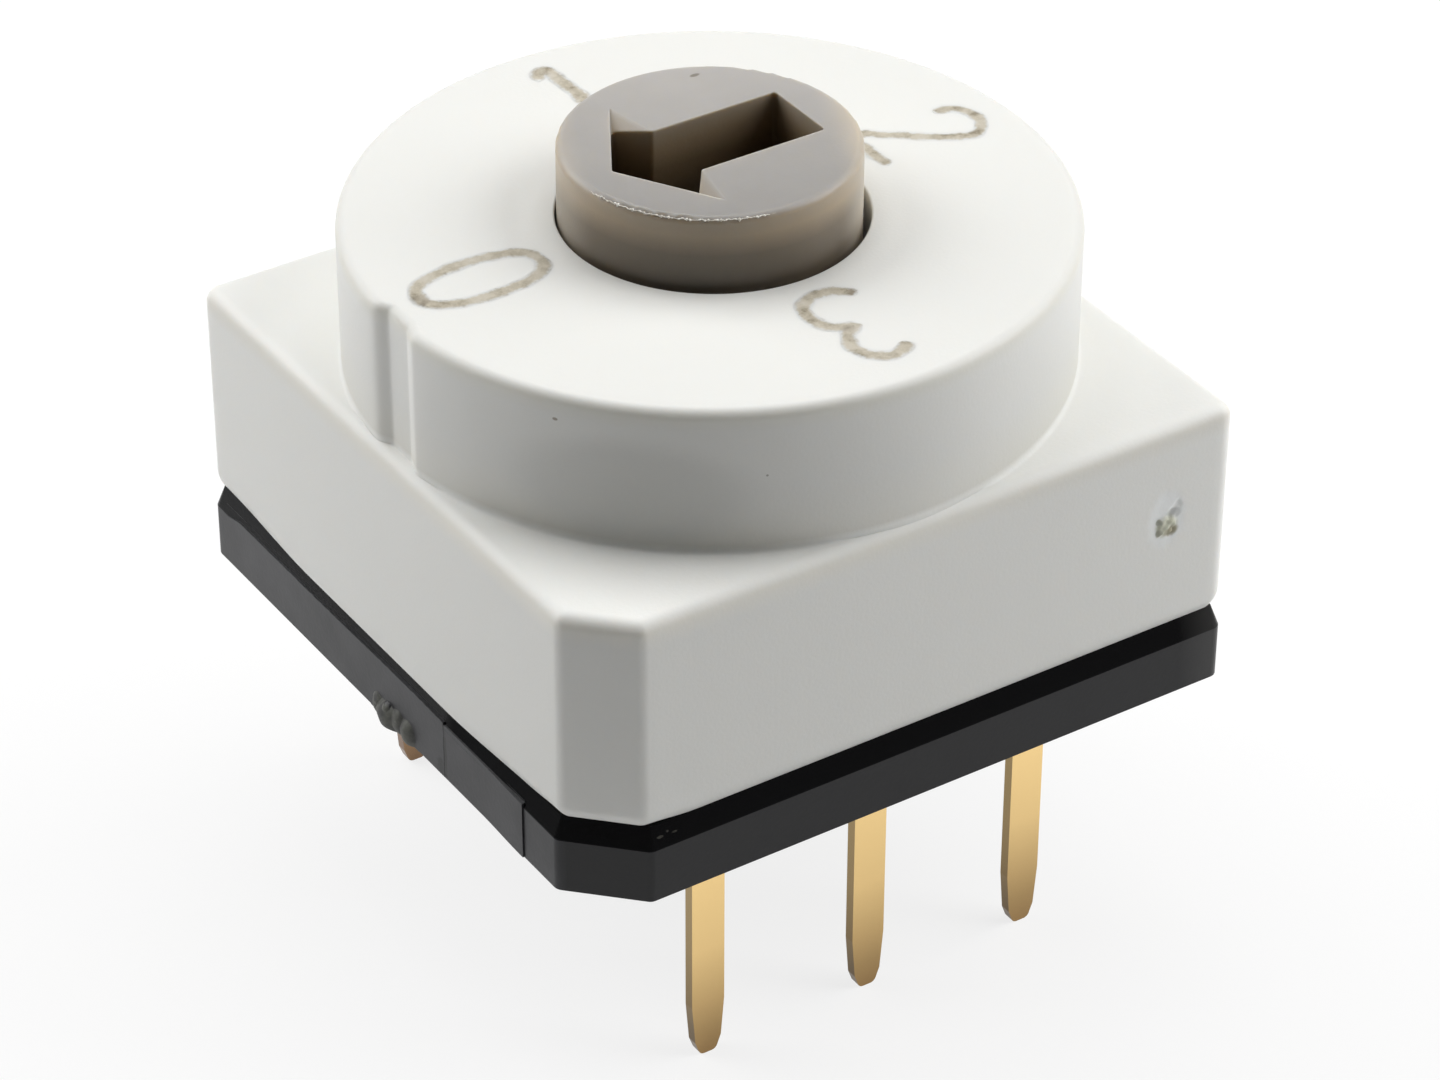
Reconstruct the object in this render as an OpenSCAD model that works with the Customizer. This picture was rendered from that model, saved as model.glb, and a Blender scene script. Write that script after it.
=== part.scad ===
// Four-position rotary DIP switch for through-hole boards, in millimetres.
// The origin is on the rotor's axis, in the plane where the base sits on the board. +Z points
// away from the board. The bevelled corner is at -X -Y, the 0 of the dial at -X.

/* [Body] */
// Side of the square body
body_side = 9.8; // [9.4:0.1:12]
// Height of the square body above the board
body_h = 4.28; // [3.6:0.02:5.2]
// Leg of the housing's bevelled corner
housing_bevel = 0.75; // [0.3:0.05:1.2]
// Leg of the base's bevelled corner
base_bevel = 0.87; // [0.4:0.01:1.3]
// Radius of the housing's upright corners
housing_corner_r = 0.24; // [0.22:0.02:0.5]
// Radius of the base's upright corners
base_corner_r = 0.14; // [0.14:0.02:0.4]
// Radius of the housing's top edges
top_edge_r = 0.2; // [0.1:0.02:0.22]

/* [Seam between housing and base] */
// Height of the parting plane above the board
seam_z = 1.11; // [0.9:0.01:1.3]
// How far both edges are drawn in at the parting plane
seam_inset = 0.12; // [0.04:0.01:0.13]
// Height of the bevel on the base
base_seam_h = 0.31; // [0.1:0.01:0.5]
// Height of the bevel on the housing
housing_seam_h = 0.3; // [0.1:0.01:0.6]
// Small bevel round the foot of the base
foot_bevel = 0.02; // [0.02:0.01:0.12]

/* [Boss] */
// Diameter of the round boss
boss_d = 9.6; // [9:0.1:9.8]
// Height of the boss over the square body
boss_h = 2.06; // [1.6:0.02:3]
// Radius of the boss's top edge
boss_edge_r = 0.15; // [0.02:0.01:0.2]
// Wall between the boss's outside and the round cavity
boss_wall = 0.85; // [0.7:0.05:1.2]
// Width of the index notch in the boss
notch_w = 0.88; // [0.4:0.02:1.2]
// Depth of the index notch
notch_depth = 0.14; // [0.1:0.02:0.4]
// How far the notch's middle lies from the 0's axis, towards -Y
notch_shift = 0.1; // [0:0.02:0.2]
// How much of the notch's width its steep side takes, the rest is a gentle ramp
notch_steep = 0.2; // [0.1:0.05:0.5]

/* [Rotor knob] */
// Diameter of the knob
knob_d = 3.94; // [3.4:0.02:4.8]
// Height of the knob over the boss
knob_h = 1.01; // [0.2:0.01:1.6]
// Radius of the knob's top edge
knob_edge_r = 0.1; // [0.04:0.01:0.2]
// Radial gap between the knob and the hole in the boss
knob_gap = 0.105; // [0.03:0.005:0.15]

/* [Arrow slot] */
// Distance from the axis to the arrow's tip
arrow_tip = 1.47; // [1.2:0.01:1.6]
// Distance from the axis to the barbs, along the arrow
arrow_barb = 0.64; // [0.56:0.01:0.8]
// Half width of the arrow's head
arrow_half = 1.38; // [1.1:0.01:1.45]
// Distance from the axis to where the shaft meets the head
arrow_neck = 0.5; // [0.3:0.01:0.55]
// Half width of the shaft, for a screwdriver's blade
shaft_half = 0.58; // [0.4:0.01:0.7]
// Distance from the axis to the shaft's end
shaft_end = 1.38; // [1:0.01:1.5]
// Depth of the slot
slot_depth = 1.2; // [0.8:0.05:1.6]
// Radius of the slot's upright corners
slot_corner_r = 0.06; // [0.02:0.01:0.1]
// Depth at which a barb's ramp meets the deep slot
ramp_depth = 0.12; // [0.05:0.01:0.3]
// How much of the head's front edge each barb's ramp takes
ramp_length = 0.4; // [0.2:0.02:0.6]

/* [Rotor inside] */
// Space between the contacts and the carrier disc
contact_space = 0.85; // [0.7:0.01:1]
// Thickness of the carrier disc
disc_t = 0.65; // [0.5:0.01:0.8]
// Radial gap between the disc and the cavity
disc_gap = 0.35; // [0.1:0.05:0.5]
// Height of the click cam
cam_h = 1.05; // [0.9:0.01:1.2]
// Distance across the cam's flats
cam_flat = 4.6; // [4:0.05:4.9]
// Radius over the cam's rounded corners
cam_round_r = 2.62; // [2.5:0.01:2.9]
// Thickness of the collar over the cam
collar_t = 0.25; // [0.2:0.01:0.35]
// How far the collar reaches past the seal's seat
collar_lip = 0.45; // [0.2:0.01:0.5]
// Play of the rotor along its axis
axial_play = 0.05; // [0.02:0.01:0.08]
// Radius of the pivot pin
pivot_r = 0.6; // [0.45:0.01:0.65]
// Radial clearance of the pivot in the base
pivot_gap = 0.05; // [0.02:0.01:0.1]
// Depth of the pivot's bearing below the contacts
bearing_depth = 1.25; // [0.9:0.05:1.4]
// Free depth under the pivot's end
pivot_end_gap = 0.12; // [0.05:0.01:0.2]
// Distance from the outer contact track to the carrier disc's rim
track_edge = 0.9; // [0.8:0.02:1]

/* [Seal and detent springs] */
// Thickness of the seal ring's section
seal_d = 0.76; // [0.6:0.01:0.9]
// Clearance round the seal ring's section
seal_gap = 0.01; // [0.005:0.005:0.03]
// Thickness of a detent leaf
leaf_t = 0.14; // [0.1:0.01:0.2]
// Height of a detent leaf
leaf_h = 0.8; // [0.6:0.01:0.85]
// Gap between a leaf and the cam's flat
leaf_gap = 0.02; // [0.01:0.005:0.04]
// Clearance of a leaf's end in its slot
leaf_slot_gap = 0.03; // [0.02:0.005:0.05]
// How deep each leaf's end goes into the wall
leaf_grip = 0.45; // [0.3:0.01:0.5]

/* [Plug of the base] */
// Height of the base's plug over the parting plane
plug_h = 0.64; // [0.5:0.01:0.8]
// Plastic left outside the pins in the plug
plug_edge = 0.21; // [0.15:0.01:0.4]
// Leg of the plug's bevelled corner
plug_bevel = 0.5; // [0.3:0.05:0.8]
// Radius of the plug's upright corners
plug_corner_r = 0.1; // [0.06:0.01:0.15]
// Clearance between the plug's sides and the housing
plug_gap = 0.05; // [0.02:0.01:0.08]
// Clearance over the plug
plug_top_gap = 0.1; // [0.05:0.01:0.15]

/* [Terminals] */
// Distance between neighbouring pins of a row
pin_pitch = 2.54; // [2.3:0.01:3.1]
// Distance between the two rows
row_spacing = 7.62; // [6.8:0.01:7.9]
// Width of a pin
pin_w = 0.5; // [0.4:0.01:0.6]
// Thickness of the terminal strip
strip_t = 0.16; // [0.12:0.01:0.25]
// Length of the pins below the board plane
pin_length = 3.83; // [2.5:0.01:4.5]
// Length of the pins' taper
taper_length = 0.83; // [0.5:0.01:1]
// Width of a pin's blunt end
pin_end_w = 0.24; // [0.15:0.01:0.3]
// Width of a pin where its taper ends
pin_shoulder_w = 0.4; // [0.34:0.01:0.46]
// Height of the pin's last, steeper stretch
pin_shoulder_h = 0.22; // [0.15:0.01:0.3]
// Radius of the corners at the pin's end
pin_corner_r = 0.09; // [0.04:0.01:0.1]
// Inner radius of the bend
bend_r = 0.12; // [0.08:0.01:0.16]
// Width of a contact pad, along the radius
pad_w = 1.2; // [0.9:0.05:1.3]
// Angle that a contact pad covers
pad_angle = 52; // [36:1:56]
// Plastic left between the pivot's bearing and the common terminal's ring
ring_clear = 0.15; // [0.1:0.01:0.25]
// Width of the common terminal's ring
ring_w = 0.7; // [0.5:0.01:0.8]
// Width of the common terminal's arms
arm_w = 0.7; // [0.5:0.01:0.9]

/* [Wiper] */
// Thickness of the wiper
wiper_t = 0.12; // [0.08:0.01:0.15]
// Length of a wiper finger
finger_length = 1.85; // [1.6:0.05:2]
// Width of a wiper finger
finger_w = 0.28; // [0.2:0.01:0.32]
// Split between the two outer fingers
finger_split = 0.056; // [0.03:0.002:0.1]
// Room beside a finger in its window
finger_clear = 0.12; // [0.08:0.01:0.16]
// Gap between a finger and the contacts, so that nothing overlaps as it slides
contact_gap = 0.02; // [0.01:0.005:0.03]
// Radius of a heat stake
stake_r = 0.26; // [0.2:0.01:0.3]
// Radius of a heat stake's melted head
stake_head_r = 0.44; // [0.36:0.01:0.5]
// How far inside the outer track the heat stakes stand
stake_shift = 0.2; // [0:0.05:0.3]
// Clearance of a stake in the wiper
stake_gap = 0.02; // [0.01:0.005:0.04]

/* [Moulding marks] */
// Radius of the gate dimple on the housing's side
dimple_r = 0.4; // [0.2:0.02:0.6]
// Depth of the gate dimple
dimple_depth = 0.07; // [0.03:0.01:0.12]
// Radius of the broken nub in the dimple
nub_r = 0.14; // [0.08:0.01:0.2]
// Depth of the shallow panel on the base's left face
panel_depth = 0.02; // [0.02:0.01:0.08]
// Width of the shallow panel
panel_w = 1.98; // [1:0.02:2.4]
// Size of the largest lump of the base's gate mark
lump_r = 0.15; // [0.08:0.01:0.2]

/* [Hidden] */
$fn = 96;

// Enough to make a cut run past a face
past = 0.1;
// Steps in a rounded corner, and in a wiper finger's wave
corner_steps = 6;
wave_steps = 14;
// How far up the square body the boss's solid starts, so that the two join
boss_root = 1;

// Heights, from the board up
pad_top = seam_z + plug_h;
disc_z = pad_top + contact_space;
cam_z = disc_z + disc_t;
collar_z = cam_z + cam_h;
collar_top = collar_z + collar_t;
ceiling_z = collar_top + axial_play;
seal_seat_h = seal_d + 2 * seal_gap;
boss_top = body_h + boss_h;
knob_top = boss_top + knob_h;
leaf_z = cam_z + (cam_h - leaf_h) / 2;

// Radii of what turns and of what holds it
knob_r = knob_d / 2;
hole_r = knob_r + knob_gap;
seal_seat_r = knob_r + seal_seat_h;
collar_r = seal_seat_r + collar_lip;
cavity_r = boss_d / 2 - boss_wall;
disc_r = cavity_r - disc_gap;
bearing_r = pivot_r + pivot_gap;
ring_inner_r = bearing_r + ring_clear;
inner_track_r = ring_inner_r + ring_w / 2;
outer_track_r = disc_r - track_edge;
stake_at = outer_track_r - stake_shift;

// Places along the rows
pin_y = row_spacing / 2;
bend_y = pin_y - strip_t / 2 - bend_r;
bend_z = pad_top - strip_t - bend_r;
plug_half = pin_y + strip_t / 2 + plug_edge;

// The detent leaves lie along X, just off the cam's flats
leaf_y = cam_flat / 2 + leaf_gap;
leaf_half = sqrt(pow(cavity_r, 2) - pow(leaf_y + leaf_t, 2)) + leaf_grip;

// The wiper's outer fingers stand on the pad between the arrow and the front
wiper_angle = 225;
// Where along a finger its lowest point is
wave_at = 0.86;

// Corners of the arrow's head, on its +Y side, and where its ramp starts
tip_at = [-arrow_tip, 0];
barb_at = [-arrow_barb, arrow_half];
neck_at = [-arrow_neck, shaft_half];
shoulder_at = barb_at + ramp_length * (tip_at - barb_at) / norm(tip_at - barb_at);

// Radius along the bottom of the index notch
notch_floor_r = 0.04;

// Where the housing's moulding gate was broken off, on the side face at -Y
gate_at = [3.86, -body_side / 2, 2.9];
// Lumps of the base's gate, low on its left face: place along Y, height, relative size
gate_lumps = [[0.42, 0.17, 0.7], [0.16, 0.2, 1], [-0.12, 0.19, 0.85], [-0.38, 0.16, 0.6]];
// Nearer end of the shallow panel in the base's left face
panel_at = -3.25;

// Colours as the photo shows them
housing_grey = "#e4e3df";
rotor_grey = "#a9a6a1";
base_black = "#222324";
contact_gold = "#d8ab5c";
spring_steel = "#9a9c9e";
seal_black = "#2b2b2b";

// Points on an arc round c
function arc(c, r, from, to, steps = corner_steps) =
    [for (i = [0:steps]) let (a = from + (to - from) * i / steps) c + r * [cos(a), sin(a)]];

// The arc that rounds the corner b between a and c with radius r
function round_corner(a, b, c, r) =
    let (
        u = (a - b) / norm(a - b),
        v = (c - b) / norm(c - b),
        half = acos(u * v) / 2,
        middle = b + (u + v) / norm(u + v) * r / sin(half),
        first = b + u * r / tan(half) - middle,
        last = b + v * r / tan(half) - middle,
        start = atan2(first.y, first.x),
        turn = (atan2(last.y, last.x) - start + 540) % 360 - 180
    )
    arc(middle, r, start, start + turn);

// An outline with every corner rounded
function rounded(points, r) =
    let (n = len(points))
    [for (i = [0:n - 1]) each round_corner(points[(i + n - 1) % n], points[i], points[(i + 1) % n], r)];

// A square about the origin with its -X -Y corner cut off
function bevelled_square(half, bevel) = [
    [half, -half], [half, half], [-half, half], [-half, -half + bevel], [-half + bevel, -half]
];

// The same outline drawn in by inset all round, its corners still round about the same centres
function drawn_in(half, bevel, r, inset) =
    rounded(bevelled_square(half - inset, bevel - inset * (2 - sqrt(2))), r - inset);

// A solid through a stack of outlines with the same number of points
module stack(outlines, heights) {
    n = len(outlines[0]);
    last = (len(outlines) - 1) * n;
    polyhedron(
        points = [for (k = [0:len(outlines) - 1]) for (p = outlines[k]) [p.x, p.y, heights[k]]],
        faces = concat(
            [[for (i = [0:n - 1]) i]],
            [[for (i = [n - 1:-1:0]) last + i]],
            [
                for (k = [0:len(outlines) - 2])
                    for (i = [0:n - 1])
                        let (a = k * n + i, b = k * n + (i + 1) % n)
                        [a, a + n, b + n, b]
            ]
        )
    );
}

// A profile drawn in Y and Z, given a width along X about x = 0
module across_x(width) {
    translate([-width / 2, 0, 0]) rotate([90, 0, 90]) linear_extrude(width) children();
}

// Square part of the housing: drawn in at the seam, its top edges round
module housing_block() {
    angles = [for (i = [0:corner_steps]) 90 * i / corner_steps];
    insets = concat([seam_inset, 0], [for (a = angles) top_edge_r * (1 - cos(a))]);
    heights = concat(
        [seam_z, seam_z + housing_seam_h],
        [for (a = angles) body_h - top_edge_r * (1 - sin(a))]
    );
    stack([for (e = insets) drawn_in(body_side / 2, housing_bevel, housing_corner_r, e)], heights);
}

// Round boss with a soft top edge, reaching down into the square part
module boss() {
    r = boss_d / 2;
    h = boss_h + boss_root;
    translate([0, 0, body_h - boss_root])
        rotate_extrude() {
            square([r - boss_edge_r, h]);
            square([r, h - boss_edge_r]);
            translate([r - boss_edge_r, h - boss_edge_r]) circle(boss_edge_r);
        }
}

// Plan of the base's plug, or of the room for it when drawn larger
module plug_plan(gap = 0) {
    polygon(rounded(bevelled_square(plug_half + gap, plug_bevel), plug_corner_r));
}

// Room for the plug, the disc, the seal and the knob, one above the other
module housing_hollow() {
    translate([0, 0, seam_z - past])
        linear_extrude(plug_h + plug_top_gap + past) plug_plan(plug_gap);
    translate([0, 0, seam_z]) cylinder(h = ceiling_z - seam_z, r = cavity_r);
    translate([0, 0, ceiling_z - past]) cylinder(h = seal_seat_h + past, r = seal_seat_r);
    translate([0, 0, ceiling_z]) cylinder(h = boss_top - ceiling_z + past, r = hole_r);
}

// Slots in the cavity's wall that the detent leaves slide up into
module leaf_slots() {
    half = leaf_half + leaf_slot_gap;
    width = leaf_t + 2 * leaf_slot_gap;
    for (side = [0, 1])
        mirror([0, side, 0])
            translate([-half, leaf_y - leaf_slot_gap, pad_top])
                cube([2 * half, width, leaf_z + leaf_h + leaf_slot_gap - pad_top]);
}

// Shallow dimple round the housing's gate
module gate_dimple() {
    r = (pow(dimple_r, 2) + pow(dimple_depth, 2)) / (2 * dimple_depth);
    translate(gate_at - [0, r - dimple_depth, 0]) sphere(r);
}

// Plan of the index notch: a steep side at +Y and a gentle ramp out towards -Y, drawn past the boss
module notch_plan() {
    side_x = -sqrt(pow(boss_d / 2, 2) - pow(notch_w / 2 + notch_shift, 2));
    steep_y = notch_w / 2 - notch_shift;
    deepest = [notch_depth - boss_d / 2, steep_y - notch_steep * notch_w];
    mouth = [[side_x, steep_y], [side_x, steep_y - notch_w]];
    polygon(rounded(concat([deepest], [for (m = mouth) deepest + 2 * (m - deepest)]), notch_floor_r));
}

// Stub of the broken gate, a little narrower at its end
module gate_nub() {
    draft = 0.8;
    translate(gate_at + [0, dimple_depth + past, 0])
        rotate([90, 0, 0]) cylinder(h = dimple_depth + past, r1 = nub_r, r2 = draft * nub_r);
}

module housing() {
    color(housing_grey) {
        difference() {
            union() {
                housing_block();
                boss();
            }
            housing_hollow();
            leaf_slots();
            translate([0, 0, body_h]) linear_extrude(boss_h + past) notch_plan();
            gate_dimple();
        }
        gate_nub();
    }
}

// Outline of the arrow's deep part, its barbs cut off where the ramps begin
module arrow_plan() {
    above = [[shaft_end, shaft_half], neck_at, shoulder_at];
    below = [for (i = [2:-1:0]) [above[i].x, -above[i].y]];
    polygon(rounded(concat([tip_at], below, above), slot_corner_r));
}

// Shallow ramp from a barb's back edge, at the top, down to the deep slot
module barb_ramp() {
    back = neck_at - barb_at;
    run = cross(shoulder_at - barb_at, back) / norm(back);
    slope = atan(ramp_depth / run);
    reach = (run + slot_corner_r) / cos(slope);
    intersection() {
        translate([0, 0, -2 * ramp_depth])
            linear_extrude(2 * ramp_depth + past) polygon([barb_at, tip_at, neck_at]);
        translate(barb_at)
            rotate([slope, 0, atan2(back.y, back.x)])
                translate([-past, -reach, 0]) cube([norm(back) + 2 * past, reach, 1]);
    }
}

module arrow_slot() {
    translate([0, 0, knob_top - slot_depth]) linear_extrude(slot_depth + past) arrow_plan();
    for (side = [0, 1]) mirror([0, side, 0]) translate([0, 0, knob_top]) barb_ramp();
}

// Knob, collar, carrier disc and pivot, turned about the axis
module rotor_turned() {
    pivot_end = pad_top - bearing_depth + pivot_end_gap;
    rotate_extrude() {
        translate([0, collar_z]) square([knob_r - knob_edge_r, knob_top - collar_z]);
        translate([0, collar_z]) square([knob_r, knob_top - knob_edge_r - collar_z]);
        translate([knob_r - knob_edge_r, knob_top - knob_edge_r]) circle(knob_edge_r);
        translate([0, collar_z]) square([collar_r, collar_t]);
        translate([0, disc_z]) square([disc_r, disc_t]);
        translate([0, pivot_end]) square([pivot_r, disc_z - pivot_end + disc_t / 2]);
    }
}

// Four flats with rounded corners between them
module click_cam() {
    intersection() {
        translate([-cam_flat / 2, -cam_flat / 2, cam_z - disc_t / 2])
            cube([cam_flat, cam_flat, cam_h + disc_t / 2 + collar_t / 2]);
        translate([0, 0, cam_z - disc_t / 2])
            cylinder(h = cam_h + disc_t / 2 + collar_t / 2, r = cam_round_r);
    }
}

// Two heat stakes with their melted heads under the wiper
module heat_stakes() {
    head_h = 0.16;
    for (turn = [90, -90])
        rotate([0, 0, wiper_angle + turn])
            translate([stake_at, 0, 0]) {
                translate([0, 0, disc_z - wiper_t - head_h])
                    cylinder(h = wiper_t + head_h + disc_t / 2, r = stake_r);
                translate([0, 0, disc_z - wiper_t - head_h]) cylinder(h = head_h, r = stake_head_r);
            }
}

module rotor() {
    color(rotor_grey) {
        difference() {
            union() {
                rotor_turned();
                click_cam();
            }
            arrow_slot();
        }
        heat_stakes();
    }
}

module o_ring() {
    color(seal_black)
        translate([0, 0, ceiling_z + seal_seat_h / 2])
            rotate_extrude() translate([knob_r + seal_seat_h / 2, 0]) circle(seal_d / 2);
}

// Straight spring leaf with rounded ends, standing on edge
module detent_spring() {
    end_r = 0.2;
    outline = [[-leaf_half, 0], [leaf_half, 0], [leaf_half, leaf_h], [-leaf_half, leaf_h]];
    color(spring_steel)
        translate([0, leaf_y + leaf_t, leaf_z])
            rotate([90, 0, 0]) linear_extrude(leaf_t) polygon(rounded(outline, end_r));
}

module detent_spring_back() {
    detent_spring();
}

module detent_spring_front() {
    mirror([0, 1, 0]) detent_spring();
}

// Side view of a finger, root at y = 0: it dips in a smooth wave and turns up at its end
function finger_wave() =
    let (
        drop = contact_space - wiper_t - contact_gap,
        low = wave_at * finger_length,
        lift = 0.16
    )
    [
        for (i = [0:wave_steps])
            let (y = finger_length * i / wave_steps, past_low = max(0, y - low) / (finger_length - low))
            [y, y < low ? -drop * pow(sin(90 * y / low), 2) : -drop + lift * pow(past_low, 2)]
    ];

// One finger with its contact line at radius r on the local X axis
module finger(r) {
    wave = finger_wave();
    steps = len(wave) - 1;
    root = 0.15;
    under = concat([[-root, 0]], wave);
    over = [for (i = [steps:-1:0]) wave[i] + [0, wiper_t]];
    translate([r, -wave_at * finger_length, disc_z - wiper_t])
        across_x(finger_w) polygon(concat(under, over, [[-root, wiper_t]]));
}

// Room round a finger in the wiper's plate, open to the hole or the rim at one side
module finger_window(from_r, to_r) {
    end_gap = 0.2;
    translate([from_r, -wave_at * finger_length]) square([to_r - from_r, finger_length + end_gap]);
}

// Flat plate of the wiper, with a window for each finger
module wiper_plate() {
    rim_step = 0.1;
    half = finger_w / 2 + finger_clear;
    pair_half = finger_w + finger_split / 2 + finger_clear;
    translate([0, 0, disc_z - wiper_t])
        linear_extrude(wiper_t)
            difference() {
                circle(disc_r - rim_step);
                circle(ring_inner_r);
                for (turn = [0, 180])
                    rotate(turn) finger_window(inner_track_r - half, inner_track_r + half);
                finger_window(outer_track_r - pair_half, disc_r);
                for (turn = [90, -90]) rotate(turn) translate([stake_at, 0]) circle(stake_r + stake_gap);
            }
}

module wiper() {
    shift = (finger_w + finger_split) / 2;
    color(contact_gold)
        rotate([0, 0, wiper_angle]) {
            wiper_plate();
            for (turn = [0, 180]) rotate([0, 0, turn]) finger(inner_track_r);
            for (r = [outer_track_r - shift, outer_track_r + shift]) finger(r);
        }
}

// Quarter turn of the strip from the flat pad down into the pin
module strip_bend() {
    middle = [bend_y, bend_z];
    across_x(pin_w)
        polygon(concat(arc(middle, bend_r + strip_t, 0, 90), arc(middle, bend_r, 90, 0)));
}

// Flat stamped pin with a tapered, rounded end
module pin_blade() {
    right = [
        [pin_w / 2, taper_length - pin_length], [pin_shoulder_w / 2, pin_shoulder_h - pin_length],
        [pin_end_w / 2, -pin_length]
    ];
    left = [for (i = [2:-1:0]) [-right[i].x, right[i].y]];
    line = concat(right, left);
    soft = [for (i = [1:4]) each round_corner(line[i - 1], line[i], line[i + 1], pin_corner_r)];
    outline = concat([[pin_w / 2, bend_z], right[0]], soft, [left[2], [-pin_w / 2, bend_z]]);
    translate([0, pin_y + strip_t / 2, 0]) rotate([90, 0, 0]) linear_extrude(strip_t) polygon(outline);
}

module pin_leg() {
    strip_bend();
    pin_blade();
}

// Contact pad in the first quarter, with its tail and its corner pin
module quarter_terminal() {
    middle = outer_track_r * [cos(45), sin(45)];
    pin_x = pin_pitch;
    reach = 2 * outer_track_r;
    from = 45 - pad_angle / 2;
    to = 45 + pad_angle / 2;
    translate([0, 0, pad_top - strip_t])
        linear_extrude(strip_t) {
            intersection() {
                difference() {
                    circle(outer_track_r + pad_w / 2);
                    circle(outer_track_r - pad_w / 2);
                }
                polygon([[0, 0], reach * [cos(from), sin(from)], reach * [cos(to), sin(to)]]);
            }
            polygon([
                middle + [-pin_w / 2, 0], middle + [pin_w / 2, 0],
                [pin_x + pin_w / 2, bend_y], [pin_x - pin_w / 2, bend_y]
            ]);
        }
    translate([pin_x, 0, 0]) pin_leg();
}

module terminal(mirror_x, mirror_y) {
    color(contact_gold)
        mirror([mirror_x, 0, 0]) mirror([0, mirror_y, 0]) quarter_terminal();
}

module terminal_0() {
    terminal(1, 1);
}

module terminal_1() {
    terminal(1, 0);
}

module terminal_2() {
    terminal(0, 0);
}

module terminal_3() {
    terminal(0, 1);
}

// Ring round the pivot with an arm and a pin on each side, stamped in one piece
module terminal_common() {
    taper = 0.5;
    arm_end = bend_y - taper;
    color(contact_gold) {
        translate([0, 0, pad_top - strip_t])
            linear_extrude(strip_t)
                difference() {
                    union() {
                        circle(ring_inner_r + ring_w);
                        for (side = [0, 1])
                            mirror([0, side])
                                polygon([
                                    [arm_w / 2, 0], [arm_w / 2, arm_end], [pin_w / 2, bend_y],
                                    [-pin_w / 2, bend_y], [-arm_w / 2, arm_end], [-arm_w / 2, 0]
                                ]);
                    }
                    circle(ring_inner_r);
                }
        for (side = [0, 1]) mirror([0, side, 0]) pin_leg();
    }
}

module all_terminals() {
    terminal_common();
    terminal_0();
    terminal_1();
    terminal_2();
    terminal_3();
}

// Rim of the base: a small bevel at its foot and the seam's bevel at its top
module base_rim() {
    insets = [foot_bevel, 0, 0, seam_inset];
    heights = [0, foot_bevel, seam_z - base_seam_h, seam_z];
    stack([for (e = insets) drawn_in(body_side / 2, base_bevel, base_corner_r, e)], heights);
}

// Shallow wells in the underside where the pins come out
module pin_wells() {
    well_depth = 0.15;
    margin = 0.25;
    for (x = [-pin_pitch, 0, pin_pitch])
        for (y = [-pin_y, pin_y])
            translate([x - pin_w / 2 - margin, y - strip_t / 2 - margin, -past])
                cube([pin_w + 2 * margin, strip_t + 2 * margin, well_depth + past]);
}

// Rough end of the base's moulding gate, each lump sunk a little into the face
module base_gate() {
    sink = 0.4;
    for (l = gate_lumps)
        let (r = l.z * lump_r)
            translate([sink * r - body_side / 2, l.x, l.y]) sphere(r, $fn = 32);
}

// Shallow panel in the left face, between two fine upright steps
module side_panel() {
    translate([-body_side / 2 - past, panel_at, -past])
        cube([panel_depth + past, panel_w, seam_z - base_seam_h + past]);
}

module base() {
    color(base_black)
        difference() {
            union() {
                base_rim();
                translate([0, 0, seam_z - past]) linear_extrude(plug_h + past) plug_plan();
                base_gate();
            }
            side_panel();
            pin_wells();
            all_terminals();
            translate([0, 0, pad_top - bearing_depth]) cylinder(h = bearing_depth + past, r = bearing_r);
        }
}

housing();
rotor();
o_ring();
detent_spring_front();
detent_spring_back();
wiper();
base();
terminal_common();
terminal_0();
terminal_1();
terminal_2();
terminal_3();
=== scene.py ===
"""Finish, dial numbers, moulding marks and studio of a small rotary DIP switch, built round its frame."""

import math

import bmesh
import bpy
import numpy as np
from bpy.props import FloatProperty, FloatVectorProperty, IntProperty, PointerProperty
from mathutils import Matrix, Vector


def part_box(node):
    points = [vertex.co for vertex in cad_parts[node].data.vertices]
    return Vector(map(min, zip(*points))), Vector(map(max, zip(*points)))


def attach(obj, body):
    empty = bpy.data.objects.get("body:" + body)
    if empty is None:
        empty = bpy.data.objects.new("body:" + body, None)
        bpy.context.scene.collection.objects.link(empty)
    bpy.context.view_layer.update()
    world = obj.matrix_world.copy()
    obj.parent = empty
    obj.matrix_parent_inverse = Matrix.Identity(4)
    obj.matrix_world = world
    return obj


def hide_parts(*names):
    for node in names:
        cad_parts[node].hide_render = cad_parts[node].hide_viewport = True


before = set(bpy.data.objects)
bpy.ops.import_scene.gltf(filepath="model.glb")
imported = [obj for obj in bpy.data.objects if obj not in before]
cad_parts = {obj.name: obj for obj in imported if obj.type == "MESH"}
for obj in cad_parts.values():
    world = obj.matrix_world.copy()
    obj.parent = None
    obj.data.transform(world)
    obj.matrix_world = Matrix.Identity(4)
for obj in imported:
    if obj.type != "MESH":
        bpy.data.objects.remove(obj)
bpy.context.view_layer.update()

bl_info = {
    "name": "Rotary Switch Finish",
    "version": (1, 0, 0),
    "blender": (4, 5, 0),
    "location": "View3D > Sidebar > Rotary Switch",
    "description": "Plastics, plating, dial numbers and moulding marks of a rotary DIP switch",
    "category": "Object",
}

# One millimetre in the scene's metres
MM = 0.001
SWITCH_BODY = "switch_body"
ROTOR_SET = "rotor_set"

# Faces of the frame that the added pieces sit on
BOSS_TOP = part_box("housing")[1].z
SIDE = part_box("housing")[1].x
SEAM_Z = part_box("housing")[0].z
KNOB_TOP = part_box("rotor")[1].z
PIN_TIP_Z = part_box("terminal_common")[0].z

# Middle of the mark that the housing's gate left, on the face at -Y
GATE = np.array([3.84, -4.9, 2.9]) * MM

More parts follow.
